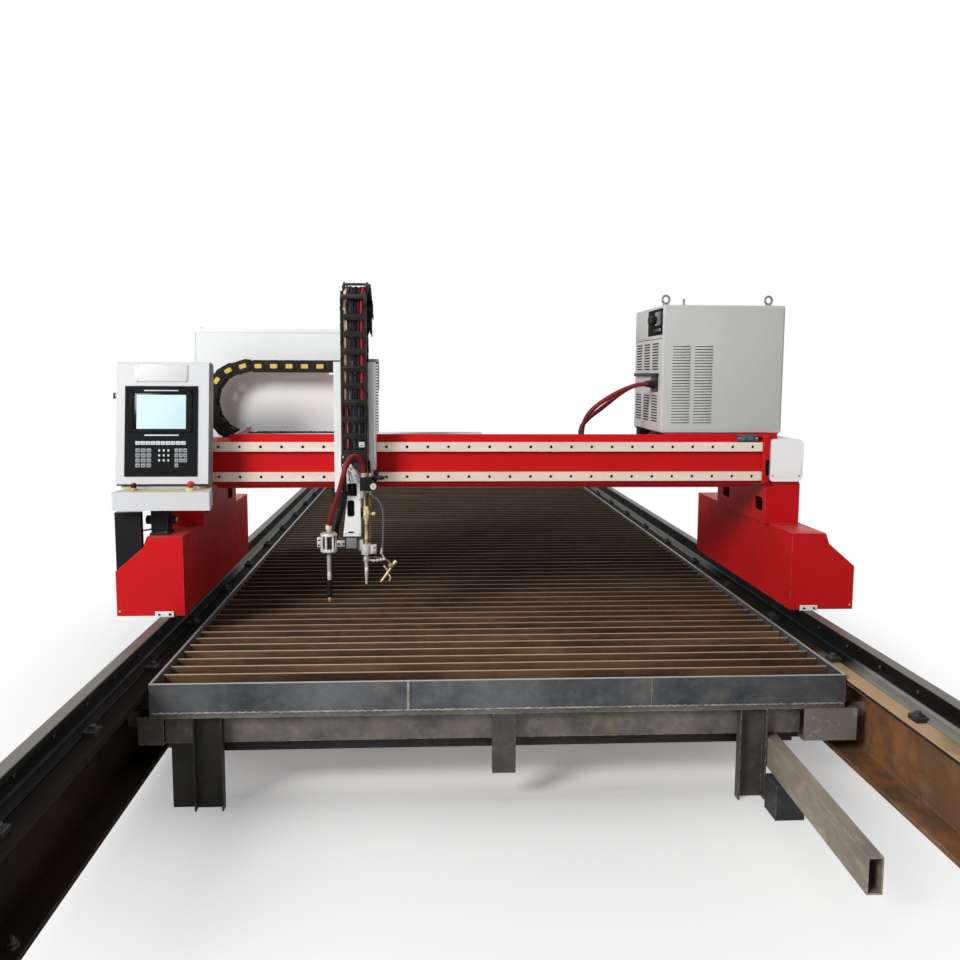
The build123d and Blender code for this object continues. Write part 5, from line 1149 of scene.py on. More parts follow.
class MACHINE_OT_chains(bpy.types.Operator):
    """Energy chain of the beam and chain of the lifter"""
    bl_idname = "machine.chains"
    bl_label = "Chains"

    def execute(self, context):
        pitch = sizes().link_pitch * 1000
        self.beam_chain(pitch)
        self.lift_chain(pitch)
        return {"FINISHED"}

    def beam_chain(self, pitch):
        """Upper run and bend of the beam's chain; each path is a little long, to keep its last link."""
        x, z = BEAM_BEND
        radius = BEAM_BEND_RADIUS
        level = ("cross", "x_bend", (-0.705, -1.36, 1.751), (-1.225, -1.36, 1.751))
        first = BEAM_CHAIN_END - BEAM_TOP_PITCHES * pitch
        upper = [(end, BEAM_CHAIN_Y, z + radius) for end in (first, BEAM_CHAIN_END + pitch + 0.2)]
        shown = [upper[0], (BEAM_CHAIN_END + 0.2, BEAM_CHAIN_Y, z + radius)]
        links("x_chain_top_links", beam_link(), level, upper, "level", ("x_chain_upper",))
        links("x_chain_top_windows", link_windows(), level, shown, "level")
        lead = math.degrees((first - pitch - x) / radius)
        tail = pitch * BEAM_BEND_PITCHES - radius * math.radians(180 + lead) + 1
        bend = [(a, BEAM_CHAIN_Y, b) for a, b in arc(BEAM_BEND, radius, 90 - lead, 270, 60)]
        bend.append((x + tail, BEAM_CHAIN_Y, z - radius))
        links("x_chain_bend_links", beam_link(), "x_bend", bend, "level", ("x_chain_bend",))
        turns = math.degrees((BEND_WINDOW_PITCHES * pitch + 0.5) / radius)
        shown = [(a, BEAM_CHAIN_Y, b) for a, b in arc(BEAM_BEND, radius, 90 - lead, 90 - lead + turns, 30)]
        links("x_chain_bend_windows", link_windows(), "x_bend", shown, "level")

    def lift_chain(self, pitch):
        """Front run and bend of the lift chain, with the cables inside."""
        y, z = LIFT_BEND
        radius = LIFT_BEND_RADIUS
        x = LIFT_CHAIN_X
        upright = ("lifter_body", "z_bend", (x / 1000, -1.886, 1.34), (x / 1000, -1.886, 2.035))
        top = LIFT_CHAIN_FOOT + LIFT_FRONT_PITCHES * pitch
        rise = [(x, y - radius, height) for height in (LIFT_CHAIN_FOOT, top + 0.2)]
        links("z_chain_front_links", lift_link(), upright, rise, "upright", ("z_chain_front",))
        start = 180 - math.degrees((top + pitch - z) / radius)
        drop = LIFT_BEND_PITCHES * pitch - radius * math.radians(start)
        over = arc(LIFT_BEND, radius, start, 0, 48)
        over += [(y + radius, z - down) for down in range(20, int(drop), 20)]
        over.append((y + radius, z - 1 - drop))
        links("z_chain_bend_links", lift_link(), "z_bend", self.swayed(x, over), "upright", ("z_chain_bend",))
        front, rear = Shape(), Shape()
        for shift, size, high_look, low_look, wave in LIFT_CABLES:
            for look, low, high in ((low_look, 1330, 1576), (high_look, 1575, 2036)):
                front.tube([(x + shift + wave * math.sin(up / 70), -1888 + wave * math.cos(up / 90), up)
                            for up in (*range(low, high, 15), high)], size, look)
            turn = arc(LIFT_BEND, 77 + wave, 180, 0, 24)
            turn += [(-1734 + wave, up) for up in range(2010, 1650, -30)]
            rear.tube(self.swayed(x + shift, turn), size, high_look)
        inner = arc(LIFT_BEND, 66, 70, 0, 12) + [(-1745, up) for up in range(2015, 1650, -30)]
        for shift in (-46, -30, -14, 2, 18, 33, 47):
            rear.tube(self.swayed(x + shift, inner), 8.4, "hose_black")
        front.done("z_chain_front_cables", upright, "black_rubber")
        rear.done("z_chain_bend_cables", "z_bend", "black_rubber")

    def swayed(self, x, line):
        """Line of the rear run, which sways sideways between the bend and its holder."""
        points = []
        for y, z in line:
            share = (z - SWAY_FOOT) / SWAY_RISE if y > LIFT_BEND[0] else 0
            if z > LIFT_BEND[1]:
                share = math.degrees(math.atan2(z - LIFT_BEND[1], LIFT_BEND[0] - y)) / SWAY_TURN
            share = min(max(share, 0), 1)
            points.append((x + SWAY * share * share * (3 - 2 * share), y, z))
        return points


# Sloping face of the console, and the plane of the torches, in millimetres

CONSOLE_FACE = Matrix.Translation((0, -1950, 1210)) @ Matrix.Rotation(math.radians(-9), 4, "X")
TORCH_PLANE = Matrix.Translation((0, -1879.3, 0))
PLASMA_X = -767
FLAME_X = -592


class MACHINE_OT_console(bpy.types.Operator):
    """Screen, keys, bare name plate and lock of the console, its switches and the knobs of its post"""
    bl_idname = "machine.console"
    bl_label = "Console"

    def execute(self, context):
        made = Shape(CONSOLE_FACE)
        made.blocks("panel_black", 2.0, (-1657, -1638, -8, -3, 236, 432), (-1396, -1377, -8, -3, 236, 432),
                    (-1657, -1377, -8, -3, 236, 246), (-1657, -1377, -8, -3, 416, 432))
        made.blocks("glass_black", 0.3, (-1640, -1394, -5, -3, 244, 418))
        made.blocks("lit_screen", 0.3, (-1628, -1406, -5.8, -3, 253, 409))
        made.blocks("key_mark", 0.4, (-1594, -1440, -9, -4, 426, 431), (-1592, -1438, -5.5, -3, 221, 227))
        made.done("console_screen", "console", "panel_black")
        self.keys()
        made = Shape(CONSOLE_FACE)
        made.prism("y", rounded(235, 79, 5, (-1516.5, 508.5)), (-2.5, 0.5), "zinc_steel", 0.5)
        made.prism("y", rounded(227, 71, 4, (-1516.5, 508.5)), (-3.2, -2), "console_grey", 0.3)
        made.lathe("y", grid((-1626, -1407), (477, 540)), [(3, -2), (3, -3.8), (1.6, -4.6)],
                   "zinc_steel", 12)
        made.done("console_plate", "console", "white_paint")
        made = Shape(CONSOLE_FACE)
        made.lathe("x", (45, 411), [(12, -1718.5), (12, -1724), (8, -1725), (8, -1739), (7, -1740)],
                   "zinc_steel")
        made.blocks("black_plastic", 1.5, (-1749, -1739, 40, 50, 398, 424))
        for z in (90, 280, 470):
            made.drum("z", (-1718.5, 10), 4, (z - 28, z + 28), "zinc_steel", 16, 0.8)
        made.done("console_lock", "console", "bright_steel")
        made = Shape()
        made.blocks("shelf_grey", 1.0, (-1700, -1320, -1934, -1878, 1187.5, 1206))
        # Black strip under the front of the case: a painted shadow line
        made.blocks("dark_recess", 1.0, (-1716, -1307, -1949, -1930, 1203, 1209))
        made.done("console_foot_seal", "console", "grey_paint")
        self.switches()
        self.post_knobs()
        return {"FINISHED"}

    def keys(self):
        """Four groups of keys; caps and marks have half width, front, half height and edge."""
        step = sizes().key_pitch * 1000
        down = (0, 0, -22.8)
        for caps, marks, cap_look, mark_look, cap, mark, runs in (
                ("console_wide_keys", "console_wide_key_marks", "key_light", "key_grey",
                 (10.6, -7.5, 9, 1.4), (5.6, -8.2, 2.2, 0.4),
                 [((-1620, 0, 154), (step * 1.28, 0, 0), 3, down, 4)]),
                ("console_right_keys", "console_right_key_marks", "key_light", "key_grey",
                 (8.6, -7.5, 9, 1.4), (4.4, -8.2, 2.2, 0.4),
                 [((-1446, 0, 154), (step, 0, 0), 3, down, 3), ((-1446, 0, 85.6), (step, 0, 0), 1)]),
                ("console_number_keys", "console_number_marks", "panel_black", "key_mark",
                 (8.8, -6.5, 9.4, 1.2), (4, -7.2, 5, 0.4),
                 [((-1524, 0, 154), (step * 1.06, 0, 0), 3, down, 3)]),
                ("function_keys", "function_key_marks", "key_mark", "key_grey",
                 (10.4, -7.5, 8.4, 1.4), (4, -8.2, 1.2, 0.2),
                 [((-1621, 0, 188), (22.8, 0, 0), 10)])):
            for name, look, (wide, front, high, edge), back, segments in (
                    (caps, cap_look, cap, -4, 2), (marks, mark_look, mark, mark[1] + 1.2, 1)):
                key = Shape()
                key.blocks(look, edge, (-wide, wide, front, back, -high, high), segments=segments)
                rows(name, key, "console", "panel_black", *runs, placing=CONSOLE_FACE)

    def switches(self):
        """Key switch and stop button on the shelf."""
        made = Shape()
        at = (-1624, -1998)
        made.lathe("z", at, [(20, 1188.3), (20, 1190.5), (15, 1193), (13, 1198), (10.5, 1200)],
                   "key_brass", 28)
        made.lathe("z", at, [(8, 1198), (12, 1202), (13.5, 1209), (12, 1216), (8, 1220.5), (2, 1222)],
                   "black_plastic", 28)
        made.blocks("key_brass", 0.8, (-1625.2, -1622.8, -2010, -1986, 1214, 1223))
        made.done("key_head", "key", "bright_steel", ("key_switch",))
        made = Shape()
        made.lathe("z", (-1370, -1998), [(9, 1199), (9, 1207), (13.5, 1208.2), (16.5, 1213), (16.5, 1219),
                                         (13.5, 1225), (7.5, 1229), (2, 1230)], "red_plastic", 32)
        made.done("stop_head", "estop", "red_plastic", ("estop_button",))

    def post_knobs(self):
        """Clamp knobs, a lever and screws of the post."""
        at = (-1910, 1040)
        made = Shape()
        for side in (-1, 1):
            x = -1530 + side * 38
            made.prism("x", knurled(21.5, 18.5, 9, at), (x + side * 12, x + side * 30),
                       "black_plastic", 1.5)
            made.lathe("x", at, [(13, x + side * 29), (13, x + side * 32), (9, x + side * 33)],
                       "zinc_steel", 20)
        made.tube([(-1568, -1930, 1000), (-1590, -1945, 998), (-1606, -1962, 998)], 4, "zinc_steel")
        made.lathe("z", grid((-1560, -1500), (-1956, -1864)),
                   [(9, 985.5), (9, 988), (6.5, 989), (6.5, 995)], "gear_steel", 6)
        made.done("post_knobs", "gantry", "black_plastic")


class MACHINE_OT_power_source(bpy.types.Operator):
    """Case, louvres, control window, eyes and feet of the power source"""
    bl_idname = "machine.power_source"
    bl_label = "Power source"

    def execute(self, context):
        self.case()
        louvre = Shape()
        louvre.prism("x", [(-1713, -4.5), (-1717.5, -3.5), (-1717.5, -2.5), (-1713, 4)], (-45, 45),
                     "grey_paint", 0.5, 1)
        # Black sheet behind each louvre: painted shade in the gaps
        gap = Shape()
        gap.blocks("dark_recess", 0.2, (-44, 44, -1714.2, -1712, -3.2, -0.4), segments=1)
        for name, unit, z in (("power_louvres", louvre, 1487), ("power_louvre_gaps", gap, 1483)):
            rows(name, unit, "gantry", "grey_paint",
                 ((939, 0, z), (0, 0, sizes().louvre_pitch * 1000), sizes().louvre_rows, (110, 0, 0), 2))
        self.controls()
        made = Shape()
        made.blocks("red_paint", 1.0, (862, 1436, -1704, -1692, 1391, 1430.6))
        for y in (-1640, -1300):
            made.blocks("black_rubber", 5.0, (838, 905, y, y + 95, 1391, 1430.6))
            made.drum("y", (868, 1408), 15, (y - 6, y + 101), "black_rubber", 20, 1.5)
        made.done("power_stand_rail", "gantry", "black_rubber")
        slot = Shape()
        slot.prism("x", rounded(118, 6, 2.8), (843.6, 845.6), "dark_recess", 0, 1)
        rows("power_side_vents", slot, "gantry", "grey_paint",
             *[((0, -1570, z), (0, 0, 14), 10, (0, 175, 0), 3) for z in (1744, 1484)])
        return {"FINISHED"}

    def case(self):
        """Case with raised panels, feet and lifting eyes."""
        made = Shape()
        made.blocks("grey_paint", 9.0, (845, 1450, -1712, -1112, 1431, 2055), segments=3)
        made.blocks("grey_paint", 1.2, (853, 1442, -1713.5, -1711, 1448, 2034))
        made.blocks("grey_paint", 1.0, (1451.5, 1449, -1690, -1134, 1448, 2034),
                    (853, 1442, -1113, -1110.5, 1448, 2034))
        made.lathe("z", grid((875, 1420), (-1672, -1152)), [(26, 1425), (30, 1427), (30, 1432), (24, 1434)],
                   "black_rubber")
        for x in (865, 1377):
            made.lathe("z", (x, -1672), [(17, 2054), (17, 2058), (12, 2060), (9, 2065)], "forged_steel")
            made.ring("y", (x, 2082), -1672, 19, 5.5, "forged_steel", turned("z", 12, (x, -1672, 0)))
        made.lathe("z", (954, -1672),
                   [(8, 2054), (8, 2060), (5.5, 2061), (5.5, 2078), (7, 2079), (7, 2084)],
                   "forged_steel", 16, 0.6)
        made.done("power_source_case", "gantry", "grey_paint", ("power_source",))

    def controls(self):
        """Control window, knobs, lamps, handle bar and cable plugs on the left side."""
        made = Shape()
        made.blocks("dark_recess", 2.0, (842, 846, -1702, -1412, 1912, 2040))
        made.blocks("glass_black", 1.0, (840.5, 843, -1690, -1560, 1960, 2026))
        made.lathe("x", grid((-1520, -1470), 1990), [(22, 843), (22, 832), (16, 828)],
                   "black_plastic", 24, 0.8)
        made.drum("x", (-1670, 1935), 8, (843, 835), "key_light", 16, 1.0)
        made.drum("x", grid((-1640, -1610, -1580), 1935), 8, (843, 835), "key_grey", 16, 1.0)
        made.blocks("black_plastic", 3.0, (830, 846, -1650, -1150, 1708, 1724))
        made.prism("x", rounded(130, 76, 10, (-1577, 1670)), (838, 846), "black_plastic", 1.5)
        made.lathe("x", grid((-1602, -1552), 1670),
                   [(24, 845), (24, 838), (20, 836), (20, 822), (17, 820), (17, 806), (14, 800)],
                   "black_plastic", 28, 0.6)
        made.blocks("grey_paint", 1.0, (843.2, 846, -1402, -1124, 1902, 2038))
        made.blocks("dark_recess", 0.3, (844.3, 846, -1702, -1122, 1892, 1895))
        made.done("power_controls", "gantry", "panel_black")


class MACHINE_OT_beam(bpy.types.Operator):
    """Guide rail screws, end brackets, limit sensor, lead-in flange and wiper plates of the gantry"""
    bl_idname = "machine.beam"
    bl_label = "Beam"

    def execute(self, context):
        screw = Shape()
        screw.lathe("y", (0, 0), [(6.6, -1722), (6.6, -1740), (3.4, -1740), (3.4, -1735)],
                    "dark_recess", 12)
        rows("guide_rail_screws", screw, "gantry", "bright_steel",
             ((-1300, 0, 1219.5), (sizes().rail_screw_pitch * 1000, 0, 0), 27, (0, 0, 145), 2))
        brackets, wipers = Shape(), Shape()
        section = [(-1721, 1182), (-1750, 1182), (-1754, 1190), (-1754, 1400), (-1742, 1424), (-1721, 1424)]
        for side in (-1, 1):
            brackets.prism("x", section, (side * 1351, side * 1383.5), "red_paint", 1.5)
            brackets.blocks("dark_recess", 0.5, (side * 1364, side * 1382, -1755.5, -1752, 1222, 1302))
            x = side * 1500
            for y, out in ((-2016, -1), (-480, 1)):
                wipers.blocks("white_paint", 0.8, (x - 42, x + 42, y + out, y + out * 7, 608, 634))
                wipers.drum("y", grid((x - 24, x + 24), 621), 5, (y + out * 7, y + out * 11),
                            "dark_recess", 12, 0.5)
        brackets.done("beam_end_brackets", "gantry", "red_paint")
        made = Shape()
        made.blocks("sensor_grey", 3.0, (1224, 1330, -1738, -1718, 1390, 1422))
        made.blocks("teal_plastic", 1.0, (1240, 1268, -1743, -1737, 1396, 1416),
                    (1276, 1300, -1741, -1737, 1398, 1414))
        made.drum("x", (-1728, 1406), 6, (1329, 1352), "black_rubber", 16)
        made.lathe("y", grid((1232, 1320), 1406), [(4, -1737), (4, -1740), (2.4, -1741)], "zinc_steel", 12)
        made.done("limit_sensor", "gantry", "black_plastic")
        made = Shape()
        tilt = turned("y", -32, (-1253, 0, 1421))
        made.blocks("flange_white", 1.5, (-1309, -1197, -1424, -1411, 1414, 1428), turn=tilt)
        made.lathe("y", grid((-1290, -1216), 1421), [(4, -1423), (4, -1426), (2.5, -1427)],
                   "zinc_steel", 12, turn=tilt)
        made.done("lead_in_flange", "gantry", "white_paint")
        wipers.done("rail_wipers", "gantry", "white_paint")
        return {"FINISHED"}


class MACHINE_OT_cross_carriage(bpy.types.Operator):
    """Slotted wiring duct, motor fins and end caps of the cross carriage"""
    bl_idname = "machine.cross_carriage"
    bl_label = "Cross carriage"

    def execute(self, context):
        made = Shape()
        made.blocks("white_paint", 0.6, (-545, -541.5, -1857, -1799, 1437, 1769))
        made.blocks("dark_recess", 0.3, (-541.5, -534, -1852, -1804, 1439, 1767))
        made.blocks("black_plastic", 0.6, (-738.5, -700, -1860.5, -1796, 1770, 1773),
                    (-577.5, -546, -1860.5, -1842, 1770, 1773))
        made.drum("x", grid(-1828, (1285, 1480, 1660)), 5, (-545, -541), "zinc_steel", 6, 0.5)
        made.done("wiring_duct", "cross", "white_paint")
        finger = Shape()
        finger.blocks("white_paint", 0.5, (-542, -531.5, -3, 3, -4.2, 4.2), segments=1)
        rows("wiring_duct_fingers", finger, "cross", "white_paint",
             ((0, -1854, 1446), (0, 0, 13.5), 24, (0, 52, 0), 2))
        motor = (-721.5, 1132)
        fin = Shape()
        fin.prism("y", rounded(86, 86, 8, motor, 2), (-2, 2), "black_paint")
        rows("traverse_motor_fins", fin, "cross", "black_paint", ((0, -1648, 0), (0, 9.5, 0), 12))
        fin = Shape()
        fin.prism("z", rounded(42, 42, 4, (-552, -1753), 2), (-1.6, 1.6), "grey_paint")
        rows("lift_motor_fins", fin, "cross", "black_paint", ((0, 0, 1660), (0, 0, 8), 12))
        made = Shape()
        made.prism("y", rounded(74, 74, 6, motor), (-1509, -1503), "dark_steel", 1.0)
        made.lathe("y", motor, [(24, -1505), (24, -1497), (18, -1495)], "black_plastic")
        made.drum("z", (-700, -1540), 11, (1080, 1093), "black_plastic", 16, 1.0)
        made.done("traverse_motor_cap", "cross", "black_paint")
        return {"FINISHED"}


class MACHINE_OT_lifter(bpy.types.Operator):
    """Openings, hood cylinder and chain end of the lifter, and the fittings of its gas block"""
    bl_idname = "machine.lifter"
    bl_label = "Lifter"

    def execute(self, context):
        made = Shape()
        made.prism("y", rounded(33, 77, 10.8, (-660, 1088)), (-1891.5, -1888.8), "dark_recess")
        made.blocks("dark_recess", 0.3, (-673.5, -646.5, -1891.5, -1888.8, 971, 979),
                    (-676.5, -631.5, -1891.5, -1888.8, 1146.5, 1206.5))
        made.lathe("y", [(-687, 970), (-622, 970), (-676, 1130), (-622, 1130), (-670, 1224), (-626, 1218)],
                   [(3.6, -1908.8), (3.6, -1911), (2.2, -1912)], "zinc_steel", 12)
        made.blocks("black_plastic", 1.5, (-615.5, -609, -1902, -1884, 1046, 1088))
        made.lathe("x", (-1893, 1067), [(7, -609.5), (7, -605), (5, -603.5)], "black_plastic", 16)
        made.tube([(-660, -1914, 1293), (-652, -1914, 1280), (-626, -1914, 1241)], 8.5, "bright_steel", 20)
        made.tube([(-656, -1914, 1286.5), (-649, -1914, 1275.7)], 10.5, "zinc_steel", 20)
        made.tube([(-634, -1914, 1252.8), (-628, -1914, 1243.8)], 10.5, "zinc_steel", 20)
        made.tube([(-667, -1918, 1262), (-664, -1924, 1228), (-656, -1925, 1206)], 2.6, "dark_steel")
        made.tube([(-667, -1909, 1262), (-667, -1920, 1262)], 4, "dark_steel")
        made.done("lifter_fittings", "lifter_body", "black_plastic")
        made = Shape()
        made.blocks("black_plastic", 2.0, (-703, -580, -1916, -1909.8, 1303, 1344),
                    (-702, -646, -1918.5, -1911, 1284, 1340))
        made.lathe("y", grid((-692, -656), (1294, 1330)), [(5.2, -1918), (5.2, -1921), (3.4, -1922)],
                   "zinc_steel", 6)
        made.blocks("key_mark", 0.8, (-620, -594, -1901.5, -1896, 1375, 1400))
        made.blocks("cable_blue", 0.2, (-616, -600, -1902.2, -1901, 1383, 1386))
        made.done("lift_chain_end", "lifter_body", "black_plastic")
        self.gas_block()
        return {"FINISHED"}

    def gas_block(self):
        """Gas block with its sockets, gauge and side outlet."""
        gauge = (-553, 1195)
        made = Shape()
        made.prism("z", rounded(57, 62, 5, (-587.5, -1899.3)), (1173.5, 1238.5), "black_paint", 1.5)
        made.lathe("z", (-600, -1914.3), [(15, 1237), (15, 1243), (13.5, 1244), (13.5, 1256), (12.4, 1257)],
                   "zinc_steel", 20, 0.5)
        made.lathe("z", grid((-588, -572), -1889.3), [(8.5, 1237), (8.5, 1245), (7, 1246), (7, 1254)],
                   "brass", 6, 0.4)
        made.lathe("z", grid((-598.5, -585.5), -1884.3), [(6, 1158), (7.5, 1160), (7.5, 1174), (6, 1176)],
                   "brass", 6, 0.4)
        made.lathe("z", (-570, -1889.3), [(6, 1152), (8, 1155), (8, 1176)], "zinc_steel", 6, 0.4)
        made.lathe("z", (-606, -1912), [(5, 1136), (9, 1140), (9, 1160), (11, 1162), (11, 1176)],
                   "zinc_steel", 20, 0.4)
        made.lathe("y", gauge, [(12, -1919), (15.5, -1922), (15.5, -1941), (13.4, -1943)], "zinc_steel", 28)
        made.lathe("y", gauge, [(13, -1941), (13, -1943.6)], "key_mark", 28)
        made.blocks("cable_red", 0.2, (-553.8, -552.2, -1945, -1943, 1192, 1205),
                    turn=turned("y", -38, (-553, 0, 1195)))
        made.drum("y", gauge, 2.2, (-1943, -1945.6), "black_plastic", 12)
        made.lathe("x", (-1879.3, 1230), [(8, -560.5), (11, -558), (11, -546), (8.5, -544), (8.5, -530),
                                          (10.5, -528), (10.5, -514), (8, -512), (8, -503)],
                   "black_plastic", 20, 0.4)
        made.tube([(-548, -1879, 1212), (-540, -1872, 1226), (-536, -1864, 1250), (-537, -1860, 1280)], 5,
                  "black_plastic")
        made.done("gas_block_fittings", "lifter_body", "black_paint", ("gas_block",))


class MACHINE_OT_torches(bpy.types.Operator):
    """Torch clamp with its cage, plasma torch, flame torch, igniter and gas valves"""
    bl_idname = "machine.torches"
    bl_label = "Torches"

    def execute(self, context):
        self.clamp()
        at = (PLASMA_X, 0)
        made = Shape(TORCH_PLANE)
        made.lathe("z", at, [(3, 637), (5.5, 639), (8, 646), (8, 656), (6.5, 661)], "brass")
        made.lathe("z", at, [(9, 660), (12, 663), (13, 668), (13, 690), (12.2, 692), (12.2, 696), (13, 698),
                             (13, 740), (11, 746)], "black_plastic", 28)
        made.lathe("z", at, [(9, 744), (10, 747), (10, 780), (9.2, 782), (9.2, 786), (10, 788), (10, 968)],
                   "torch_silver", 28)
        made.lathe("z", at, [(13, 966), (13, 984)], "zinc_steel", 6, 0.6)
        made.lathe("z", at, [(12, 984), (14.5, 986), (14.5, 1004), (12.6, 1007)], "ferrule_pink")
        made.done("plasma_torch_body", "lifter_body", "aluminium", ("plasma_torch",))
        made = Shape(TORCH_PLANE)
        self.flame(made)
        self.igniter(made)
        made.done("flame_torch_set", "lifter_body", "brass", ("flame_torch",))
        self.valves()
        return {"FINISHED"}

    def clamp(self):
        """Round cage of the plasma torch, the arm to the lifter and the split clamp of the flame torch."""
        at = (PLASMA_X, 0)
        made = Shape(TORCH_PLANE)
        for outer, inner, span, look, sides, soft in (
                (40, 14, (955, 966), "torch_silver", 40, 1.0), (36, 14, (966, 970), "zinc_steel", 40, 0.8),
                (40, 25, (880, 894), "torch_silver", 40, 1.0), (31, 25, (872, 880), "dark_steel", 40, 0.8),
                (21, 10.6, (884, 955), "dark_steel", 32, 0.8)):
            made.pipe("z", at, outer, inner, span, look, sides, soft)
        made.drum("z", arc(at, 32, 12, 312, 5), 5.5, (893, 956), "torch_silver", 14)
        lag = math.degrees(0.5)
        made.lathe("z", arc(at, 31, 12 + lag, 312 + lag, 5), [(4, 965), (4, 972), (2.6, 973)],
                   "zinc_steel", 6)
        made.blocks("torch_silver", 2.0, (-821, -803, -12, 12, 902, 948))
        made.lathe("y", grid(-813, (913, 937)), [(5, -11), (5, -16), (3, -17)], "dark_steel", 6)
        made.blocks("dark_steel", 2.0, (-730, -684, -16, 16, 898, 944))
        made.blocks("zinc_steel", 1.5, (-729, -690, -21, -15, 906, 936))
        made.lathe("y", grid((-721, -698), 921), [(6, -20), (6, -26), (4, -27)], "dark_steel", 6)
        made.blocks("dark_steel", 2.5, (-684, -629, -28, 22, 896, 957.5))
        made.blocks("block_grey", 1.5, (-682, -634, -30, -27, 899, 949))
        made.blocks("zinc_steel", 1.0, (-751, -721, 18, 64, 929, 939))
        made.blocks("clamp_grey", 2.0, (-629, -606, -15, 15, 888, 936))
        made.pipe("z", (FLAME_X, 0), 24, 9.5, (866, 916), "clamp_grey", 32, 1.5)
        made.blocks("clamp_grey", 1.5, (-574, -544, -13, -3, 870, 912), (-574, -544, 3, 13, 870, 912))
        made.lathe("y", grid(-556, (880, 902)), [(6, -20), (6, -12), (4, -10), (4, 18)], "zinc_steel", 6)
        made.pipe("z", (FLAME_X, 0), 16, 9.5, (832, 852), "zinc_steel", 28, 1.0)
        made.done("torch_clamp_set", "lifter_body", "aluminium", ("torch_clamp",))

    def flame(self, made):
        """Flame torch from its nozzle up to its tubes."""
        at = (FLAME_X, 0)
        made.lathe("z", at, [(3.4, 712), (4.6, 714), (5.0, 722)], "dark_steel")
        made.lathe("z", at, [(4.8, 721), (6.4, 745), (8.4, 768)], "torch_silver")
        made.lathe("z", at, [(7.6, 767), (9, 769), (9, 800), (8, 802), (8, 806), (9, 808), (9, 868)],
                   "torch_silver")
        made.lathe("z", at, [(9, 866), (9, 930), (10.5, 934), (10.5, 948), (9, 952), (9, 1018), (12, 1024),
                             (12, 1034), (10, 1037)], "brass")
        made.lathe("z", at, [(12, 1010), (12, 1022)], "brass", 6, 0.6)
        made.prism("z", rounded(32, 32, 6, at), (1036, 1080), "brass", 2.0)
        made.lathe("z", at, [(15, 1078), (15, 1086), (11, 1090), (11, 1096)], "brass", 6, 0.6)
        made.lathe("x", grid(0, (1050, 1068)),
                   [(7, -606), (7, -612), (4.5, -613), (4.5, -619), (6, -620), (6, -624)], "brass", 12)
        made.lathe("y", (FLAME_X, 1059), [(8.5, -14), (8.5, -17)], "brass", 6, 0.4)
        for x, radius, look in ((-598.5, 6.4, "brass"), (-585.5, 3.6, "dark_steel")):
            made.tube([(x, -5, 1080), (x, -5, 1176)], radius, look, 14)
            made.lathe("z", (x, -5), [(6.5, 1080), (8, 1082), (8, 1092), (6.5, 1094)], "brass", 6)
        made.tube([(-579, 3, 1080), (-577, 4, 1120), (-579, 4, 1176)], 3.4, "old_brass")
        made.tube([(-575, 6, 905), (-573, 6, 1000), (-572, 5, 1110), (-573, 5, 1176)], 3, "old_brass")

    def igniter(self, made):
        """Arm beside the flame torch, with the igniter across its end."""
        made.tube([(-592, 0, 840), (-560, 0, 835), (-530, 0, 838), (-504, 0, 842)], 4.6, "clamp_grey", 12)
        for x, z in ((-557, 835), (-541, 836.5), (-524, 839), (-508, 841.5)):
            made.drum("x", (0, z), 7.6, (x - 4.5, x + 4.5), "clamp_grey", 16, 1.5)
        made.tube([(-592, 8, 852), (-550, 8, 850), (-508, 3, 848)], 3, "old_brass")
        made.tube([(-504, 0, 842), (-489, 0, 833), (-477, 0, 816)], 4.6, "old_brass", 12)
        made.prism("y", rounded(24, 20, 4, (-478, 812)), (-9, 9), "old_brass", 1.5)
        made.lathe("y", (-478, 812), [(5, -8), (5, -14), (3, -15)], "zinc_steel", 6)
        made.tube([(-457, -2, 827), (-489, -2, 781), (-521.5, -2, 736)], 6.6, "brass", 16)
        made.tube([(-453, -2, 832.6), (-461.5, -2, 820.6)], 9, "brass", 16)
        made.tube([(-521.8, -2, 735.5), (-526, -2, 729.5)], 4.4, "copper", 16)
        made.tube([(-510, -4, 811), (-498, -4, 795), (-489, -3, 781)], 4.6, "brass", 12)
        made.tube([(-495, -4, 772), (-483, -5, 764), (-478, -6, 751), (-484, -6, 739)], 3.8, "brass", 12)
        made.tube([(-520, 0, 868), (-512, 0, 853), (-505, 0, 842)], 4.4, "zinc_steel", 12)
        made.tube([(-521, 0, 868), (-519, 0, 884)], 7.5, "zinc_steel", 6)
        made.tube([(-519.2, 0, 882), (-517.6, 0, 895)], 6.2, "zinc_steel", 16)

    def valves(self):
        """Knurled hand wheels of the two gas valves; places run along the axis of each."""
        for side, body, axis, at, stem, grip, cap in (
                ("right", "valve_r", "x", (0, 1059), (-574.7, -563), (-564.7, -550),
                 (-550.5, -548.8, -548.2)),
                ("front", "valve_f", "y", (FLAME_X, 1059), (-17.3, -29), (-27.3, -42),
                 (-41.5, -43.1, -43.7))):
            made = Shape(TORCH_PLANE)
            made.drum(axis, at, 4, stem, "brass", 16)
            made.prism(axis, knurled(9.4, 7.8, 14, at), grip, "brass", 0.5, 1)
            made.lathe(axis, at, list(zip((7.4, 7.4, 5), cap)), "brass", 20)
            made.done("gas_valve_wheel_" + side, body, "brass", ("gas_valve_" + side,))


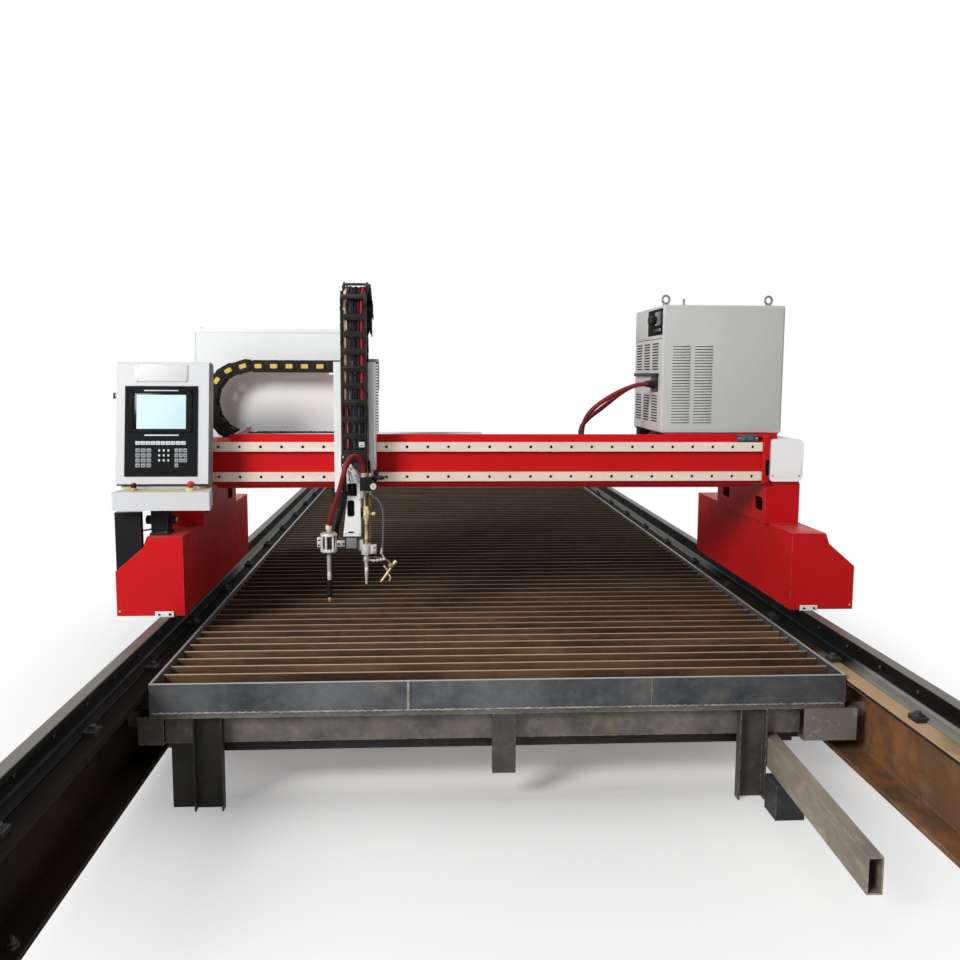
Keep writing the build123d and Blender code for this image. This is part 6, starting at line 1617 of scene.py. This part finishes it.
class MACHINE_OT_cabinet(bpy.types.Operator):
    """Rims, vents, glands, door panel and lock handle of the electrical cabinet"""
    bl_idname = "machine.cabinet"
    bl_label = "Cabinet"

    def execute(self, context):
        made = Shape()
        made.blocks("cabinet_white", 0.8, (-1534, -1508, -1261.6, -1259, 1262, 1934),
                    (-680, -654, -1261.6, -1259, 1262, 1934), (-1533, -655, -1261.4, -1259, 1250.5, 1272),
                    (-1533, -655, -1261.4, -1259, 1924, 1945.5))
        made.lathe("z", grid((-1480, -708), (-1225, -1040)), [(11, 1945.5), (11, 1949), (7, 1951)],
                   "zinc_steel", 6)
        made.lathe("z", grid((-1300, -1240, -1180, -1120), -1130),
                   [(17, 1250.5), (17, 1244), (14, 1243), (14, 1232), (10, 1228)], "black_plastic", 12)
        made.done("cabinet_rims", "gantry", "white_paint")
        made = Shape()
        made.blocks("cabinet_white", 1.0, (-1512, -676, -988.2, -985.6, 1274, 1922))
        made.prism("y", rounded(34, 150, 8, (-704, 1598)), (-987, -979), "black_plastic", 2.0)
        made.blocks("black_plastic", 3.5, (-713, -695, -981, -968, 1532, 1640))
        made.lathe("y", (-704, 1656), [(11, -980), (11, -972), (8, -970)], "zinc_steel")
        made.blocks("dark_recess", 0.3, (-705, -703, -971, -969, 1650, 1662))
        for z in (1340, 1855):
            made.lathe("y", (-704, z), [(12, -986), (12, -979), (9, -977)], "black_plastic")
            made.blocks("zinc_steel", 0.5, (-706, -702, -978, -975.5, z - 7, z + 7))
        made.done("cabinet_door_lock", "door", "white_paint")
        slot = Shape()
        slot.prism("y", rounded(92, 7, 3, (0, 0), 2), (-986.2, -984.4), "dark_recess")
        rows("cabinet_door_vents", slot, "door", "white_paint",
             *[((-1350, 0, z), (0, 0, 16), count, (120, 0, 0), 4) for z, count in ((1320, 8), (1780, 6))])
        slot = Shape()
        slot.prism("x", rounded(70, 7, 3, (-1130, 0), 2), (-1535.2, -1533), "dark_recess")
        rows("cabinet_side_vents", slot, "gantry", "white_paint",
             *[((x, 0, 1340), (0, 0, 18), 8) for x in (0, 881.2)])
        return {"FINISHED"}


class MACHINE_OT_carriages(bpy.types.Operator):
    """Screws of the end carriages and creases of the end covers"""
    bl_idname = "machine.carriages"
    bl_label = "Carriages"

    def execute(self, context):
        screws, creases = Shape(), Shape()
        for side in (-1, 1):
            for y, out, spots in ((-2016, -1, [(1700, 634)]),
                                  (-480, 1, [(1700, 634), (1430, 634), (1700, 800)])):
                screws.lathe("y", [(side * x, z) for x, z in spots],
                             [(4.5, y - out * 0.5), (4.5, y + out * 2), (3, y + out * 3)], "zinc_steel", 12)
            for z, tip in ((690, (1410.5, 1407, 1405.5)), (640, (1713.5, 1716, 1717))):
                screws.lathe("x", grid((-1940, -560), z), [(r, side * x) for r, x in zip((7, 7, 4), tip)],
                             "dark_steel", 12)
            screws.lathe("z", grid((side * 1450, side * 1520), -930),
                         [(11, 977.5), (11, 980), (8, 981), (8, 987)], "zinc_steel", 6)
            creases.prism("x", [(-1744, 1296), (-1748.5, 1246), (-1744.5, 1206)],
                          (side * 1398, side * 1546), "cover_white")
            creases.lathe("y", grid((side * 1538, side * 1404), 1222),
                          [(5, -1744), (5, -1748), (3, -1749.5)], "zinc_steel", 12)
        screws.done("carriage_screws", "gantry", "red_paint")
        creases.done("end_cover_creases", "gantry", "white_paint")
        return {"FINISHED"}


PIECE_ORDER = (MACHINE_OT_stage, MACHINE_OT_finishes, MACHINE_OT_hoses, MACHINE_OT_table, MACHINE_OT_rails,
               MACHINE_OT_chains, MACHINE_OT_cross_carriage, MACHINE_OT_lifter, MACHINE_OT_torches,
               MACHINE_OT_console, MACHINE_OT_power_source, MACHINE_OT_beam, MACHINE_OT_cabinet,
               MACHINE_OT_carriages)


class MACHINE_PT_panel(bpy.types.Panel):
    """Lists the pieces of the machine in the sidebar"""
    bl_idname = "MACHINE_PT_panel"
    bl_label = "Gantry cutting machine"
    bl_space_type = "VIEW_3D"
    bl_region_type = "UI"
    bl_category = "Machine"

    def draw(self, context):
        for piece in PIECE_ORDER:
            self.layout.operator(piece.bl_idname)
        for group in (context.scene.machine_sizes, context.scene.machine_colours):
            for key in group.__annotations__:
                self.layout.prop(group, key)


CLASSES = (MachineSizes, MachineColours, *PIECE_ORDER, MACHINE_PT_panel)


def register():
    """Adds the classes and the settings of the panel."""
    for entry in CLASSES:
        bpy.utils.register_class(entry)
    bpy.types.Scene.machine_sizes = PointerProperty(type=MachineSizes)
    bpy.types.Scene.machine_colours = PointerProperty(type=MachineColours)


def unregister():
    """Takes the settings and the classes away again."""
    del bpy.types.Scene.machine_colours
    del bpy.types.Scene.machine_sizes
    for entry in reversed(CLASSES):
        bpy.utils.unregister_class(entry)


def main():
    """Builds all pieces in order."""
    register()
    for piece in PIECE_ORDER:
        family, action = piece.bl_idname.split(".")
        getattr(getattr(bpy.ops, family), action)()


if __name__ == "__main__":
    main()
